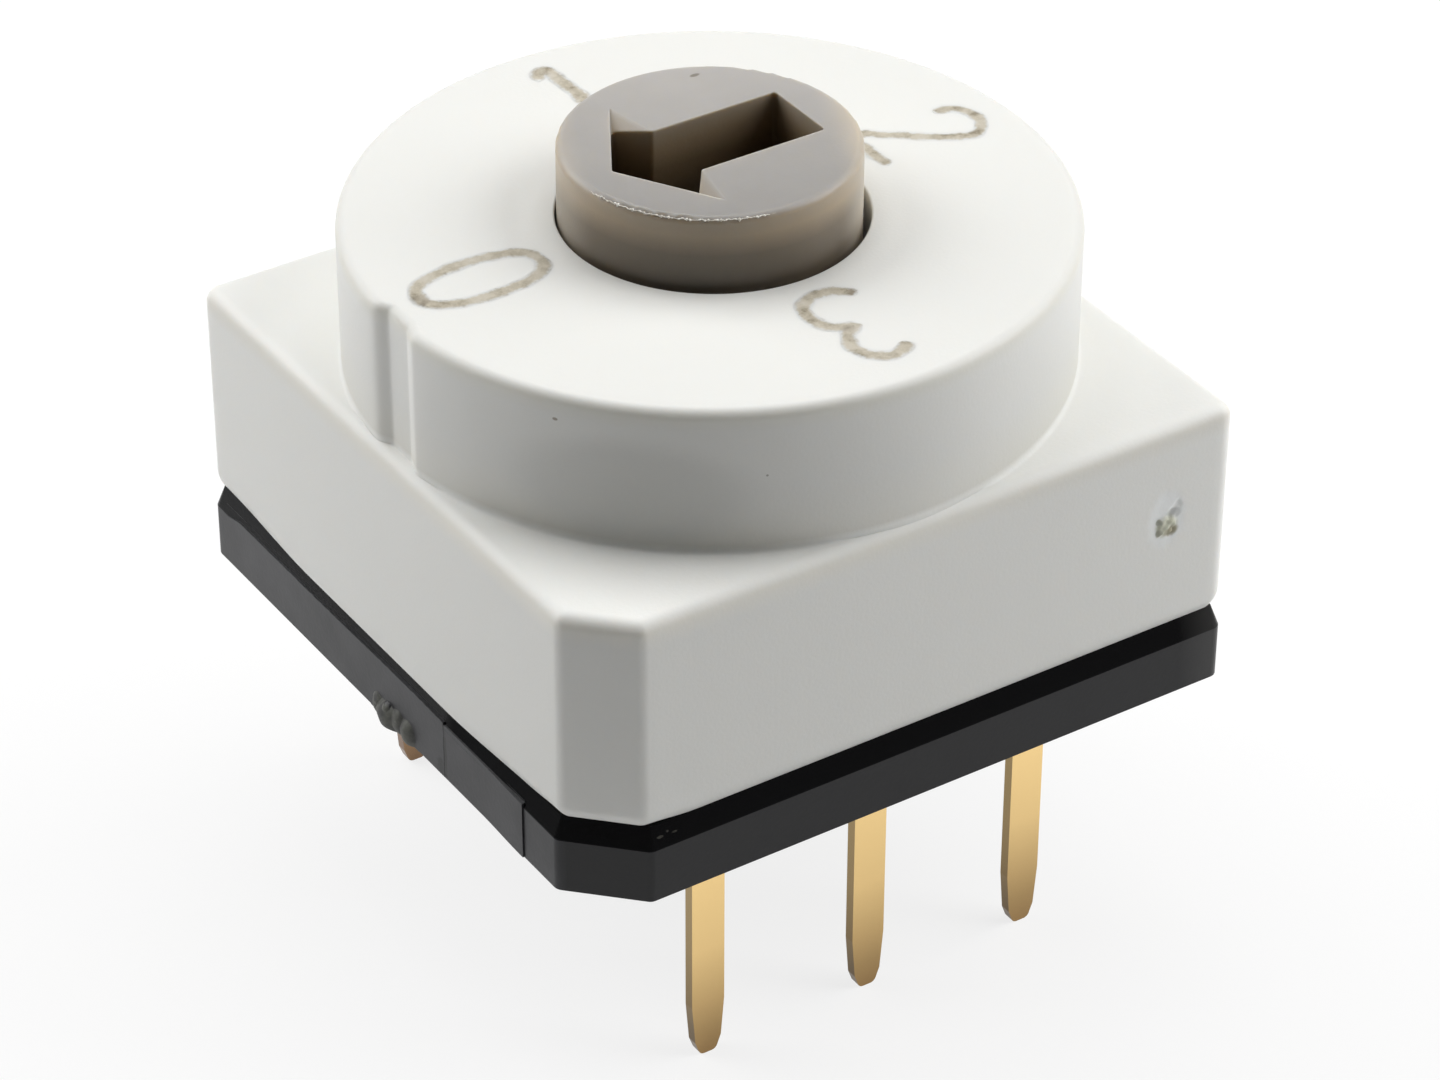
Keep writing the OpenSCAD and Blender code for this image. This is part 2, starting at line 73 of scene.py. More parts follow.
# Height at which the base's upright faces end and the bevel towards the housing's seam starts
BASE_BEVEL_Z = 0.8 * MM


def linear(hex_colour):
    """Linear RGB of an sRGB hex colour."""
    values = [int(hex_colour[i:i + 2], 16) / 255 for i in (1, 3, 5)]
    return tuple(v / 12.92 if v <= 0.04045 else ((v + 0.055) / 1.055) ** 2.4 for v in values)


def opaque(rgb):
    """A colour with full alpha, as a colour socket takes it."""
    return (*rgb, 1.0)


def add(tree, kind, inputs=None, **settings):
    """Adds a node. Settings are its own properties. Inputs hold, for each input socket, a value, the socket
    that feeds it, or a node whose first output does.
    """
    made = tree.nodes.new(kind)
    for name, value in settings.items():
        setattr(made, name, value)
    for name, value in (inputs or {}).items():
        if isinstance(value, bpy.types.Node):
            value = value.outputs[0]
        if isinstance(value, bpy.types.NodeSocket):
            tree.links.new(value, made.inputs[name])
        else:
            made.inputs[name].default_value = value
    return made


def new_material(name):
    """An empty node material, and its tree."""
    made = bpy.data.materials.new(name)
    made.use_nodes = True
    made.node_tree.nodes.clear()
    return made, made.node_tree


def dress(nodes, material):
    """Gives a material to CAD nodes, which keep their own meshes."""
    for name in nodes:
        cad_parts[name].material_slots[0].material = material


def shades(tree, factor, stops):
    """A colour ramp fed by a factor; stops are pairs of a position and a linear colour."""
    ramp = add(tree, "ShaderNodeValToRGB", {"Fac": factor})
    for _ in stops[2:]:
        ramp.color_ramp.elements.new(0.5)
    for element, (position, shade) in zip(ramp.color_ramp.elements, stops):
        element.position = position
        element.color = opaque(shade)
    return ramp


def blot(tree, place, below, colour, centre, radii, ragged):
    """A patch of dirt or painted shade: inside an ellipsoid about centre, in millimetres, the colour below
    turns to the patch's.

    The distance from the centre is measured in radii, and a fine noise added to it makes the rim ragged.
    """
    middle, reach = tuple(c * MM for c in centre), tuple(r * MM for r in radii)
    away = add(tree, "ShaderNodeVectorMath", {0: place, 1: middle}, operation="SUBTRACT")
    share = add(tree, "ShaderNodeVectorMath", {0: away, 1: reach}, operation="DIVIDE")
    far = add(tree, "ShaderNodeVectorMath", {0: share}, operation="LENGTH")
    frays = add(tree, "ShaderNodeTexNoise", {"Vector": place, "Scale": 1 / (0.06 * MM), "Detail": 2.0})
    rim = add(tree, "ShaderNodeMath", {
        0: frays, 1: ragged, 2: far.outputs["Value"]}, operation="MULTIPLY_ADD")
    cover = add(tree, "ShaderNodeMapRange", {
        "Value": rim, "From Min": 1.25 + ragged / 2, "From Max": 0.7 + ragged / 2},
        interpolation_type="SMOOTHSTEP")
    mixed = add(tree, "ShaderNodeMix", {0: cover, 6: below, 7: opaque(linear(colour))}, data_type="RGBA")
    return mixed.outputs[2]


def new_piece(name, points, faces, material, body, across=None, sharp=None):
    """A smooth mesh piece at the origin from a numpy array of points and a list of faces, riding on a body.

    Doubled points are merged. Edges that turn by more than sharp degrees stay sharp. across is a number for
    each point that a material can read.
    """
    mesh = bpy.data.meshes.new(name)
    mesh.from_pydata(points.tolist(), [], [list(map(int, f)) for f in faces])
    if across is not None:
        mesh.attributes.new("across", "FLOAT", "POINT").data.foreach_set("value", across.astype(np.float32))
    merged = bmesh.new()
    merged.from_mesh(mesh)
    bmesh.ops.remove_doubles(merged, verts=merged.verts, dist=2e-4 * MM)
    bmesh.ops.dissolve_degenerate(merged, edges=merged.edges, dist=1e-4 * MM)
    merged.to_mesh(mesh)
    merged.free()
    mesh.polygons.foreach_set("use_smooth", np.full(len(mesh.polygons), True))
    if sharp is not None:
        mesh.set_sharp_from_angle(angle=math.radians(sharp))
    mesh.materials.append(material)
    mesh.update()
    piece = bpy.data.objects.new(name, mesh)
    bpy.context.scene.collection.objects.link(piece)
    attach(piece, body)
    return piece


class PlasticSettings(bpy.types.PropertyGroup):
    """Colours and grain of the three mouldings."""

    housing_colour: FloatVectorProperty(
        name="Housing", description="Colour of the housing's plastic", subtype="COLOR",
        default=linear("#E7E7E3"), min=0, max=1)
    rotor_colour: FloatVectorProperty(
        name="Rotor", description="Colour of the rotor's plastic", subtype="COLOR",
        default=linear("#9A948A"), min=0, max=1)
    base_colour: FloatVectorProperty(
        name="Base", description="Colour of the base's plastic", subtype="COLOR",
        default=linear("#18181A"), min=0, max=1)
    housing_grain: FloatProperty(
        name="Housing grain", description="Size of the mould's eroded grain on the housing", unit="LENGTH",
        default=0.05 * MM, min=0.01 * MM, max=0.5 * MM, precision=6)
    base_grain: FloatProperty(
        name="Base grain", description="Size of the grain on the base", unit="LENGTH",
        default=0.06 * MM, min=0.01 * MM, max=0.5 * MM, precision=6)


class HousingSettings(bpy.types.PropertyGroup):
    """Sizes of the housing's shell. Its side, foot and top come from the frame."""

    body_height: FloatProperty(
        name="Body height", description="Height of the square part's top over the board", unit="LENGTH",
        default=4.28 * MM, min=2 * MM, max=10 * MM, precision=5)
    bevel: FloatProperty(
        name="Bevel", description="Leg of the bevelled corner", unit="LENGTH",
        default=0.75 * MM, min=0.3 * MM, max=2 * MM, precision=5)
    corner_radius: FloatProperty(
        name="Corner radius", description="Radius of the upright corners", unit="LENGTH",
        default=0.24 * MM, min=0.21 * MM, max=1 * MM, precision=5)
    top_radius: FloatProperty(
        name="Top edge radius", description="Radius of the square part's top edges", unit="LENGTH",
        default=0.2 * MM, min=0.02 * MM, max=0.2 * MM, precision=5)
    seam_inset: FloatProperty(
        name="Seam inset", description="How far the foot is drawn in", unit="LENGTH",
        default=0.12 * MM, min=0, max=0.2 * MM, precision=5)
    seam_height: FloatProperty(
        name="Seam height", description="Height over which the foot is drawn in", unit="LENGTH",
        default=0.3 * MM, min=0.05 * MM, max=1 * MM, precision=5)
    boss_radius: FloatProperty(
        name="Boss radius", description="Radius of the round boss", unit="LENGTH",
        default=4.8 * MM, min=3 * MM, max=4.89 * MM, precision=5)
    boss_edge: FloatProperty(
        name="Boss edge radius", description="Radius of the boss's top edge", unit="LENGTH",
        default=0.15 * MM, min=0.02 * MM, max=0.5 * MM, precision=5)
    hole_radius: FloatProperty(
        name="Hole radius", description="Radius of the hole for the knob", unit="LENGTH",
        default=2.035 * MM, min=2.03 * MM, max=2.6 * MM, precision=5)
    hole_play: FloatProperty(
        name="Hole play", description="How far the hole lies off the axis, towards -Y and a little +X",
        unit="LENGTH", default=0.054 * MM, min=0, max=0.055 * MM, precision=5)
    seat_radius: FloatProperty(
        name="Seal seat radius", description="Radius of the seal's seat", unit="LENGTH",
        default=2.75 * MM, min=2.6 * MM, max=3.5 * MM, precision=5)
    seat_top: FloatProperty(
        name="Seal seat top", description="Height of the seat's roof over the board", unit="LENGTH",
        default=5.38 * MM, min=4.7 * MM, max=6 * MM, precision=5)
    cavity_radius: FloatProperty(
        name="Cavity radius", description="Radius of the room for the rotor", unit="LENGTH",
        default=3.95 * MM, min=3.6 * MM, max=4.4 * MM, precision=5)
    cavity_top: FloatProperty(
        name="Cavity top", description="Height of the cavity's ceiling over the board", unit="LENGTH",
        default=4.6 * MM, min=4 * MM, max=5 * MM, precision=5)
    plug_half: FloatProperty(
        name="Plug room", description="Half side of the room for the base's plug", unit="LENGTH",
        default=4.15 * MM, min=4 * MM, max=4.5 * MM, precision=5)
    plug_top: FloatProperty(
        name="Plug room top", description="Height of the plug room's roof over the board", unit="LENGTH",
        default=1.85 * MM, min=1.5 * MM, max=2.5 * MM, precision=5)
    bow: FloatProperty(
        name="Foot bow", description="How far the foot of the left side bows out in its middle",
        unit="LENGTH", default=0.1 * MM, min=0, max=0.12 * MM, precision=5)
    lift: FloatProperty(
        name="Corner lift", description="How far the foot stands off the base at the bevelled corner",
        unit="LENGTH", default=0.07 * MM, min=0, max=0.2 * MM, precision=5)


class PlatingSettings(bpy.types.PropertyGroup):
    """Colours of the metal parts."""

    gold_colour: FloatVectorProperty(
        name="Gold", description="Colour of the gold flash on the terminals and the wiper", subtype="COLOR",
        default=linear("#FFDC9A"), min=0, max=1)
    steel_colour: FloatVectorProperty(
        name="Spring steel", description="Colour of the detent leaves", subtype="COLOR",
        default=linear("#C4C2BE"), min=0, max=1)


class DialSettings(bpy.types.PropertyGroup):
    """Size and place of the lasered numbers."""

    ring_radius: FloatProperty(
        name="Ring radius", description="Distance from the axis to the middle of each number",
        unit="LENGTH", default=3.36 * MM, min=2 * MM, max=6 * MM, precision=5)
    number_height: FloatProperty(
        name="Number height", description="Height of a number, along the radius", unit="LENGTH",
        default=1.78 * MM, min=0.5 * MM, max=3 * MM, precision=5)
    stroke_width: FloatProperty(
        name="Stroke width", description="Width of the laser's track on a number of share 1", unit="LENGTH",
        default=0.215 * MM, min=0.05 * MM, max=0.5 * MM, precision=6)
    raised: FloatProperty(
        name="Raised", description="How far the foamed plastic stands proud", unit="LENGTH",
        default=0.005 * MM, min=0.001 * MM, max=0.05 * MM, precision=6)
    seed: IntProperty(name="Seed", description="Chooses the unevenness of the strokes", default=4, min=0)


class StudioSettings(bpy.types.PropertyGroup):
    """Strength of the three softboxes and size of the floor."""

    left_radiance: FloatProperty(
        name="Left softbox", description="Radiance of the softbox behind on the left, in a white wall's",
        default=3.8, min=0, max=50)
    right_radiance: FloatProperty(
        name="Right softbox", description="Radiance of the softbox on the right",
        default=4.25, min=0, max=50)
    top_radiance: FloatProperty(
        name="Top softbox", description="Radiance of the softbox high up behind the switch",
        default=2.4, min=0, max=50)
    softbox_distance: FloatProperty(
        name="Softbox distance", description="Distance of the softboxes from the switch", unit="LENGTH",
        default=120 * MM, min=40 * MM, max=1000 * MM)
    floor_radius: FloatProperty(
        name="Floor radius", description="Radius of the pale round floor", unit="LENGTH",
        default=200 * MM, min=50 * MM, max=2000 * MM)


def satin_surface(tree, place, paint, grain):
    """Closes the tree with the housing plastic's shader, with the mould's fine pits, over a given colour."""
    pits = add(tree, "ShaderNodeTexNoise", {"Vector": place, "Scale": 1 / grain, "Detail": 2.0})
    relief = add(tree, "ShaderNodeBump", {"Height": pits, "Distance": 0.004 * MM, "Strength": 0.5})
    shader = add(tree, "ShaderNodeBsdfPrincipled", {
        "Base Color": paint, "Normal": relief, "Roughness": 0.5, "IOR": 1.5,
        "Subsurface Weight": 0.35, "Subsurface Scale": 0.1 * MM, "Subsurface Radius": (1.0, 0.9, 0.8)})
    add(tree, "ShaderNodeOutputMaterial", {"Surface": shader})


def moulded_pbt(colour, grain):
    """Glass-filled PBT from a spark-eroded mould: matt white with a faint satin sheen and a little depth.

    A ramp over the height paints the block's flat top a touch whiter, as painted light, and the boss's
    lower side a touch duller, as painted shade towards its foot; the block's and the boss's top edges get
    a touch warmer. The block's sides are a little darker towards the bevelled corner.
    """
    made, tree = new_material("pbt_moulded_satin")
    place = add(tree, "ShaderNodeTexCoord").outputs["Object"]
    axes = add(tree, "ShaderNodeSeparateXYZ", {"Vector": place})
    height = add(tree, "ShaderNodeMapRange", {
        "Value": axes.outputs["Z"], "From Min": 3.9 * MM, "From Max": 6.4 * MM})
    # painted light on the block's flat top and painted shade low on the boss, from this ramp
    level = shades(tree, height, (
        (0.0, (1.0, 1.0, 1.0)), (0.1, (1.03, 1.01, 0.97)), (0.145, (1.1, 1.1, 1.1)),
        (0.17, (1.1, 1.1, 1.1)), (0.2, (0.93, 0.92, 0.89)), (0.5, (0.95, 0.95, 0.95)),
        (0.86, (1.0, 1.0, 1.0)), (0.94, (1.0, 0.99, 0.95)), (0.973, (1.0, 1.0, 1.0))))
    flow = add(tree, "ShaderNodeTexNoise", {"Vector": place, "Scale": 1 / (3 * MM), "Detail": 3.0})
    tone = add(tree, "ShaderNodeMapRange", {"Value": flow, "To Min": 0.965, "To Max": 1.0})
    away = add(tree, "ShaderNodeMath", {0: axes.outputs["X"], 1: axes.outputs["Y"]}, operation="ADD")
    side_tone = add(tree, "ShaderNodeMapRange", {
        "Value": away, "From Min": -8.6 * MM, "From Max": -0.2 * MM, "To Min": 0.955, "To Max": 1.08})
    # 0 on the block's sides and 1 on the boss
    on_boss = add(tree, "ShaderNodeMath", {0: height, 1: 10.0}, operation="MULTIPLY", use_clamp=True)
    sides = add(tree, "ShaderNodeMix", {0: on_boss, 2: side_tone, 3: 1.0})
    both = add(tree, "ShaderNodeMath", {0: tone, 1: sides}, operation="MULTIPLY")
    paint = add(tree, "ShaderNodeVectorMath", {0: level, "Scale": both}, operation="SCALE")
    stained_and_shaded = add(tree, "ShaderNodeVectorMath", {0: paint, 1: colour}, operation="MULTIPLY")
    for patch in HOUSING_STAINS_AND_SHADE:
        stained_and_shaded = blot(tree, place, stained_and_shaded, *patch)
    satin_surface(tree, place, stained_and_shaded, grain)
    return made


# Colour, middle, half sizes and raggedness of each patch on the housing, in millimetres: a duller patch
# low on the boss over the bevelled corner, which is painted shade; the torn gate's pale bruise, its grey
# facet, its olive stub with a darker corner and two dark crumbs; and two specks of dust on the boss
HOUSING_STAINS_AND_SHADE = (
    # painted shade low on the boss, on the side that faces away from the softboxes
    ("#D7D7D3", (-3.39, -3.39, 5.1), (1.5, 1.5, 0.72), 0.1),
    ("#EDEFEE", (3.84, -4.9, 2.9), (0.29, 0.2, 0.42), 0.3),
    ("#CDCFCE", (3.95, -4.9, 2.94), (0.13, 0.2, 0.08), 0.3),
    ("#C9CAB7", (3.84, -4.9, 2.78), (0.17, 0.2, 0.16), 0.3),
    ("#ABA68F", (3.91, -4.9, 2.69), (0.12, 0.2, 0.08), 0.3),
    ("#B4B5A7", (3.71, -4.9, 2.88), (0.045, 0.2, 0.05), 0.2),
    ("#AFAF9F", (3.72, -4.9, 2.71), (0.05, 0.2, 0.06), 0.2),
    ("#A59E92", (-3.98, -2.68, 6.0), (0.024, 0.05, 0.022), 0.2),
    ("#ABA9A0", (-2.0, -4.36, 5.4), (0.016, 0.05, 0.016), 0.2),
)

# Speck of dust on the knob's top, as in HOUSING_STAINS_AND_SHADE
KNOB_SPECK = ("#827C72", (0.74, 1.5, 7.35), (0.07, 0.035, 0.05), 0.3)
# The way across the knob in which the light shines through its flanks; the flanks get painted light along it
LIGHT_WAY = (0.906, -0.423, 0.0)


def moulded_polyamide(colour):
    """Unfilled polyamide, moulded: warm grey and translucent, turning brown down in the hole and the slot.

    The grey is scaled by a ramp over the height, which paints it darker lower down, as painted shade, lighter
    near the top edge, as painted light, and bluish pale on the top, as a painted sheen; another one inside
    the slot paints deeper shade. A gentle slope across the knob scales it too, and the two flanks that the
    light shines through get painted light that keeps them pale.
    """
    made, tree = new_material("polyamide_moulded_translucent")
    place = add(tree, "ShaderNodeTexCoord").outputs["Object"]
    axes = add(tree, "ShaderNodeSeparateXYZ", {"Vector": place})
    height = add(tree, "ShaderNodeMapRange", {
        "Value": axes.outputs["Z"], "From Min": BOSS_TOP, "From Max": KNOB_TOP})
    # painted shade lower down, painted light near the top edge and a painted sheen on the top
    outside = shades(tree, height, (
        (0.0, (0.43, 0.38, 0.32)), (0.18, (0.53, 0.47, 0.4)), (0.46, (0.66, 0.59, 0.5)),
        (0.74, (1.3, 1.14, 0.94)), (0.93, (1.35, 1.24, 1.1)), (0.99, (1.08, 1.13, 1.25))))
    inside = shades(tree, height, (
        (0.0, (0.2, 0.15, 0.09)), (0.4, (0.4, 0.31, 0.2)), (0.7, (0.72, 0.6, 0.45)),
        (0.88, (0.9, 0.81, 0.69)), (0.97, (0.97, 0.94, 0.9)), (1.0, (1.08, 1.13, 1.25))))
    flat = add(tree, "ShaderNodeVectorMath", {0: place, 1: (1.0, 1.0, 0.0)}, operation="MULTIPLY")
    from_axis = add(tree, "ShaderNodeVectorMath", {0: flat}, operation="LENGTH")
    in_slot = add(tree, "ShaderNodeMapRange", {
        "Value": from_axis.outputs["Value"], "From Min": 1.85 * MM, "From Max": 1.8 * MM})
    depth = add(tree, "ShaderNodeMix", {0: in_slot, 6: outside, 7: inside}, data_type="RGBA").outputs[2]
    through = add(tree, "ShaderNodeVectorMath", {0: place, 1: LIGHT_WAY}, operation="DOT_PRODUCT")
    right = add(tree, "ShaderNodeMapRange", {
        "Value": through.outputs["Value"], "From Min": 1.45 * MM, "From Max": 2.0 * MM},
        interpolation_type="SMOOTHSTEP")
    left = add(tree, "ShaderNodeMapRange", {
        "Value": through.outputs["Value"], "From Min": -1.6 * MM, "From Max": -1.97 * MM, "To Max": 0.4},
        interpolation_type="SMOOTHSTEP")
    # painted light on the two flanks that the light shines through
    painted_glow = add(tree, "ShaderNodeMath", {0: right, 1: left}, operation="MAXIMUM")
    lit = add(tree, "ShaderNodeMix", {0: painted_glow, 6: depth, 7: opaque((1.46, 1.43, 1.38))}, data_type="RGBA")
    rise = (0.05 / MM, 0.09 / MM, 0.0)
    slope = add(tree, "ShaderNodeVectorMath", {0: place, 1: rise}, operation="DOT_PRODUCT")
    flow = add(tree, "ShaderNodeTexNoise", {"Vector": place, "Scale": 1 / (0.8 * MM), "Detail": 4.0})
    tone = add(tree, "ShaderNodeMapRange", {"Value": flow, "To Min": 1.03, "To Max": 1.2})
    level = add(tree, "ShaderNodeMath", {0: tone, 1: slope.outputs["Value"]}, operation="ADD")
    shaded = add(tree, "ShaderNodeVectorMath", {0: lit.outputs[2], "Scale": level}, operation="SCALE")
    paint = add(tree, "ShaderNodeVectorMath", {0: shaded, 1: colour}, operation="MULTIPLY")
    dusted = blot(tree, place, paint, *KNOB_SPECK)
    pits = add(tree, "ShaderNodeTexNoise", {"Vector": place, "Scale": 1 / (0.04 * MM), "Detail": 2.0})
    softened = add(tree, "ShaderNodeBevel", {"Radius": 0.045 * MM}, samples=6)
    relief = add(tree, "ShaderNodeBump", {
        "Height": pits, "Distance": 0.003 * MM, "Strength": 0.5, "Normal": softened})
    shader = add(tree, "ShaderNodeBsdfPrincipled", {
        "Base Color": dusted, "Normal": relief, "Roughness": 0.42, "IOR": 1.53,
        "Subsurface Weight": 1.0, "Subsurface Scale": 0.2 * MM, "Subsurface Radius": (1.0, 0.85, 0.6)})
    add(tree, "ShaderNodeOutputMaterial", {"Surface": shader})
    return made


def glinting_flash():
    """Thin flash torn along the knob's rim: the same polyamide, painted near white as a painted highlight of
    its glints.
    """
    made, tree = new_material("polyamide_flash_painted_glint")
    place = add(tree, "ShaderNodeTexCoord").outputs["Object"]
    frays = add(tree, "ShaderNodeTexNoise", {"Vector": place, "Scale": 1 / (0.08 * MM), "Detail": 3.0})
    # painted highlight: the pale colour stands in for the glints along the bead
    paint = shades(tree, frays, ((0.35, linear("#C4BFB5")), (0.6, linear("#FAF7F0"))))
    shader = add(tree, "ShaderNodeBsdfPrincipled", {"Base Color": paint, "Roughness": 0.5, "IOR": 1.53})
    add(tree, "ShaderNodeOutputMaterial", {"Surface": shader})
    return made


# Stains and painted shade on the base, as on the housing: three grey flakes stuck in the seam, a soft dark
# line at the far end of the panel and a darker patch beside it, both painted shade, and the dusty bloom on
# the torn gate's lumps
BASE_STAINS_AND_SHADE = (
    ("#45443F", (-3.88, -4.85, 0.95), (0.05, 0.1, 0.016), 1.2),
    ("#3C3B38", (-3.76, -4.85, 0.985), (0.02, 0.1, 0.014), 0.8),
    ("#42413C", (-3.66, -4.85, 0.95), (0.045, 0.1, 0.014), 1.2),
    # painted shade along the panel's far end
    ("#0C0C0D", (-4.89, -1.3, 0.3), (0.05, 0.04, 0.5), 0.8),
    ("#101113", (-4.89, -1.2, 0.14), (0.05, 0.11, 0.16), 0.6),
    ("#5A5B55", (-5.0, 0.02, 0.2), (0.075, 0.62, 0.3), 0.2),
)


def moulded_black_pbt(colour, grain, seam):
    """Black glass-filled thermoplastic, moulded: near black, half gloss, with a fine uneven skin.

    Above the height seam the bevel came from a polished part of the mould, leans back, more so near the
    bevelled corner, and mirrors the dark side of the room; there its colour is painted darker, as painted
    shade of the gap under the housing. The left face gets a patchy painted sheen that stands in for the
    reflection of the left softbox, and the far right end is a little lighter.
    """
    made, tree = new_material("black_thermoplastic_half_gloss")
    place = add(tree, "ShaderNodeTexCoord").outputs["Object"]
    axes = add(tree, "ShaderNodeSeparateXYZ", {"Vector": place})
    at_seam = add(tree, "ShaderNodeMapRange", {
        "Value": axes.outputs["Z"], "From Min": seam - 0.01 * MM, "From Max": seam + 0.02 * MM})
    skin = add(tree, "ShaderNodeTexNoise", {"Vector": place, "Scale": 1 / (0.7 * MM), "Detail": 4.0})
    polish = add(tree, "ShaderNodeMapRange", {"Value": skin, "To Min": 0.3, "To Max": 0.42})
    finish = add(tree, "ShaderNodeMix", {0: at_seam, 2: polish, 3: 0.16})
    # painted sheen: a patchy bluish grey on the left face, carried by bloom and dusty, stands in for the left
    # softbox's reflection
    sheen_noise = add(tree, "ShaderNodeTexNoise", {"Vector": place, "Scale": 1 / (0.9 * MM), "Detail": 3.0})
    sheen_patches = add(tree, "ShaderNodeMapRange", {
        "Value": sheen_noise, "From Min": 0.4, "From Max": 0.75, "To Min": 0.6, "To Max": 1.3})
    left_sheen = add(tree, "ShaderNodeMapRange", {
        "Value": axes.outputs["X"], "From Min": -4.8 * MM, "From Max": -4.88 * MM, "To Max": 0.024})
    to_right = add(tree, "ShaderNodeMapRange", {
        "Value": axes.outputs["X"], "From Min": 4.2 * MM, "From Max": 4.9 * MM, "To Max": 0.045})
    bloom = add(tree, "ShaderNodeMath", {0: left_sheen, 1: sheen_patches}, operation="MULTIPLY")
    dusty = add(tree, "ShaderNodeVectorMath", {0: (0.96, 0.98, 1.08), "Scale": bloom}, operation="SCALE")
    paint = add(tree, "ShaderNodeVectorMath", {0: dusty, 1: colour}, operation="ADD")
    # painted shade: the colour above the seam is darker, in the gap under the housing
    seam_shade = add(tree, "ShaderNodeVectorMath", {0: colour, "Scale": 0.4}, operation="SCALE")
    seamed = add(tree, "ShaderNodeMix", {0: at_seam, 6: paint, 7: seam_shade}, data_type="RGBA").outputs[2]
    lighter_right_end = add(tree, "ShaderNodeVectorMath", {0: (1.0, 0.98, 0.95), "Scale": to_right}, operation="SCALE")
    flecked_and_shaded = add(tree, "ShaderNodeVectorMath", {0: seamed, 1: lighter_right_end}, operation="ADD")
    for patch in BASE_STAINS_AND_SHADE:
        flecked_and_shaded = blot(tree, place, flecked_and_shaded, *patch)
    tilt = add(tree, "ShaderNodeMapRange", {
        "Value": axes.outputs["Y"], "From Min": -1.2 * MM, "From Max": -1.5 * MM,
        "To Min": 0.11, "To Max": 0.18})
    held = add(tree, "ShaderNodeMath", {0: tilt, 1: at_seam}, operation="MULTIPLY")
    lean = add(tree, "ShaderNodeVectorMath", {0: (0.0, 0.0, 1.0), "Scale": held}, operation="SCALE")
    facing = add(tree, "ShaderNodeNewGeometry").outputs["Normal"]
    leaning = add(tree, "ShaderNodeVectorMath", {0: lean, 1: facing}, operation="ADD")
    leant = add(tree, "ShaderNodeVectorMath", {0: leaning}, operation="NORMALIZE")
    pits = add(tree, "ShaderNodeTexNoise", {"Vector": place, "Scale": 1 / grain, "Detail": 3.0})
    rough = add(tree, "ShaderNodeMix", {0: at_seam, 2: 0.4, 3: 0.12})
    relief = add(tree, "ShaderNodeBump", {
        "Height": pits, "Distance": 0.004 * MM, "Strength": rough, "Normal": leant})
    shader = add(tree, "ShaderNodeBsdfPrincipled", {
        "Base Color": flecked_and_shaded, "Normal": relief, "Roughness": finish, "IOR": 1.5,
        "Specular IOR Level": 0.27})
    add(tree, "ShaderNodeOutputMaterial", {"Surface": shader})
    return made


def torn_black_pbt():
    """The same black plastic where a gate was torn off: dull, with a dusty olive bloom on its crests."""
    made, tree = new_material("black_thermoplastic_torn")
    place = add(tree, "ShaderNodeTexCoord").outputs["Object"]
    bloom = add(tree, "ShaderNodeTexNoise", {"Vector": place, "Scale": 1 / (0.16 * MM), "Detail": 3.0})
    paint = shades(tree, bloom, ((0.38, linear("#343432")), (0.62, linear("#53544D"))))
    relief = add(tree, "ShaderNodeBump", {"Height": bloom, "Distance": 0.01 * MM, "Strength": 0.5})
    shader = add(tree, "ShaderNodeBsdfPrincipled", {
        "Base Color": paint, "Normal": relief, "Roughness": 0.55, "IOR": 1.5})
    add(tree, "ShaderNodeOutputMaterial", {"Surface": shader})
    return made


def gold_flash(colour):
    """Thin gold over nickel on stamped bronze strip: bright, with faint lines from the rolling.

    Towards the pins' ends the gold is painted darker and browner, as painted shade of the shaded floor that
    they mirror, and the back row is painted browner, as painted shade; the sheared edges that face -X are
    painted dark, as painted shade.
    """
    made, tree = new_material("gold_flash_on_stamped_bronze")
    coordinates = add(tree, "ShaderNodeTexCoord")
    place = coordinates.outputs["Object"]
    axes = add(tree, "ShaderNodeSeparateXYZ", {"Vector": place})
    down = add(tree, "ShaderNodeMapRange", {
        "Value": axes.outputs["Z"], "From Min": PIN_TIP_Z, "From Max": -0.9 * MM})
    # painted shade, darker towards the pins' ends
    painted_tip_shade = shades(tree, down, (
        (0.0, (0.36, 0.32, 0.31)), (0.14, (0.46, 0.43, 0.42)), (0.3, (0.63, 0.6, 0.59)),
        (0.6, (0.9, 0.89, 0.89)), (1.0, (1.0, 1.0, 1.0))))
    # painted shade on the edges that face -X, carried by edge and bronze
    sheared = add(tree, "ShaderNodeSeparateXYZ", {"Vector": coordinates.outputs["Normal"]})
    edge = add(tree, "ShaderNodeMapRange", {
        "Value": sheared.outputs["X"], "From Min": -0.5, "From Max": -0.9, "To Min": 1.0, "To Max": 0.42})
    bronze = add(tree, "ShaderNodeVectorMath", {0: painted_tip_shade, "Scale": edge}, operation="SCALE")
    plated = add(tree, "ShaderNodeVectorMath", {0: bronze, 1: colour}, operation="MULTIPLY")
    # painted shade on the back row
    back = add(tree, "ShaderNodeMapRange", {
        "Value": axes.outputs["Y"], "From Min": 3.0 * MM, "From Max": 3.2 * MM, "To Max": 0.6})
    paint = add(tree, "ShaderNodeMix", {0: back, 6: plated, 7: opaque(linear("#8C7062"))}, data_type="RGBA")
    along = add(tree, "ShaderNodeMapping", {"Vector": place, "Scale": (1.0, 1.0, 0.04)})
    rolled = add(tree, "ShaderNodeTexNoise", {"Vector": along, "Scale": 1 / (0.03 * MM), "Detail": 3.0})
    relief = add(tree, "ShaderNodeBump", {"Height": rolled, "Distance": 0.0015 * MM, "Strength": 0.6})
    shader = add(tree, "ShaderNodeBsdfPrincipled", {
        "Base Color": paint.outputs[2], "Normal": relief, "Metallic": 1.0, "Roughness": 0.24})
    add(tree, "ShaderNodeOutputMaterial", {"Surface": shader})
    return made


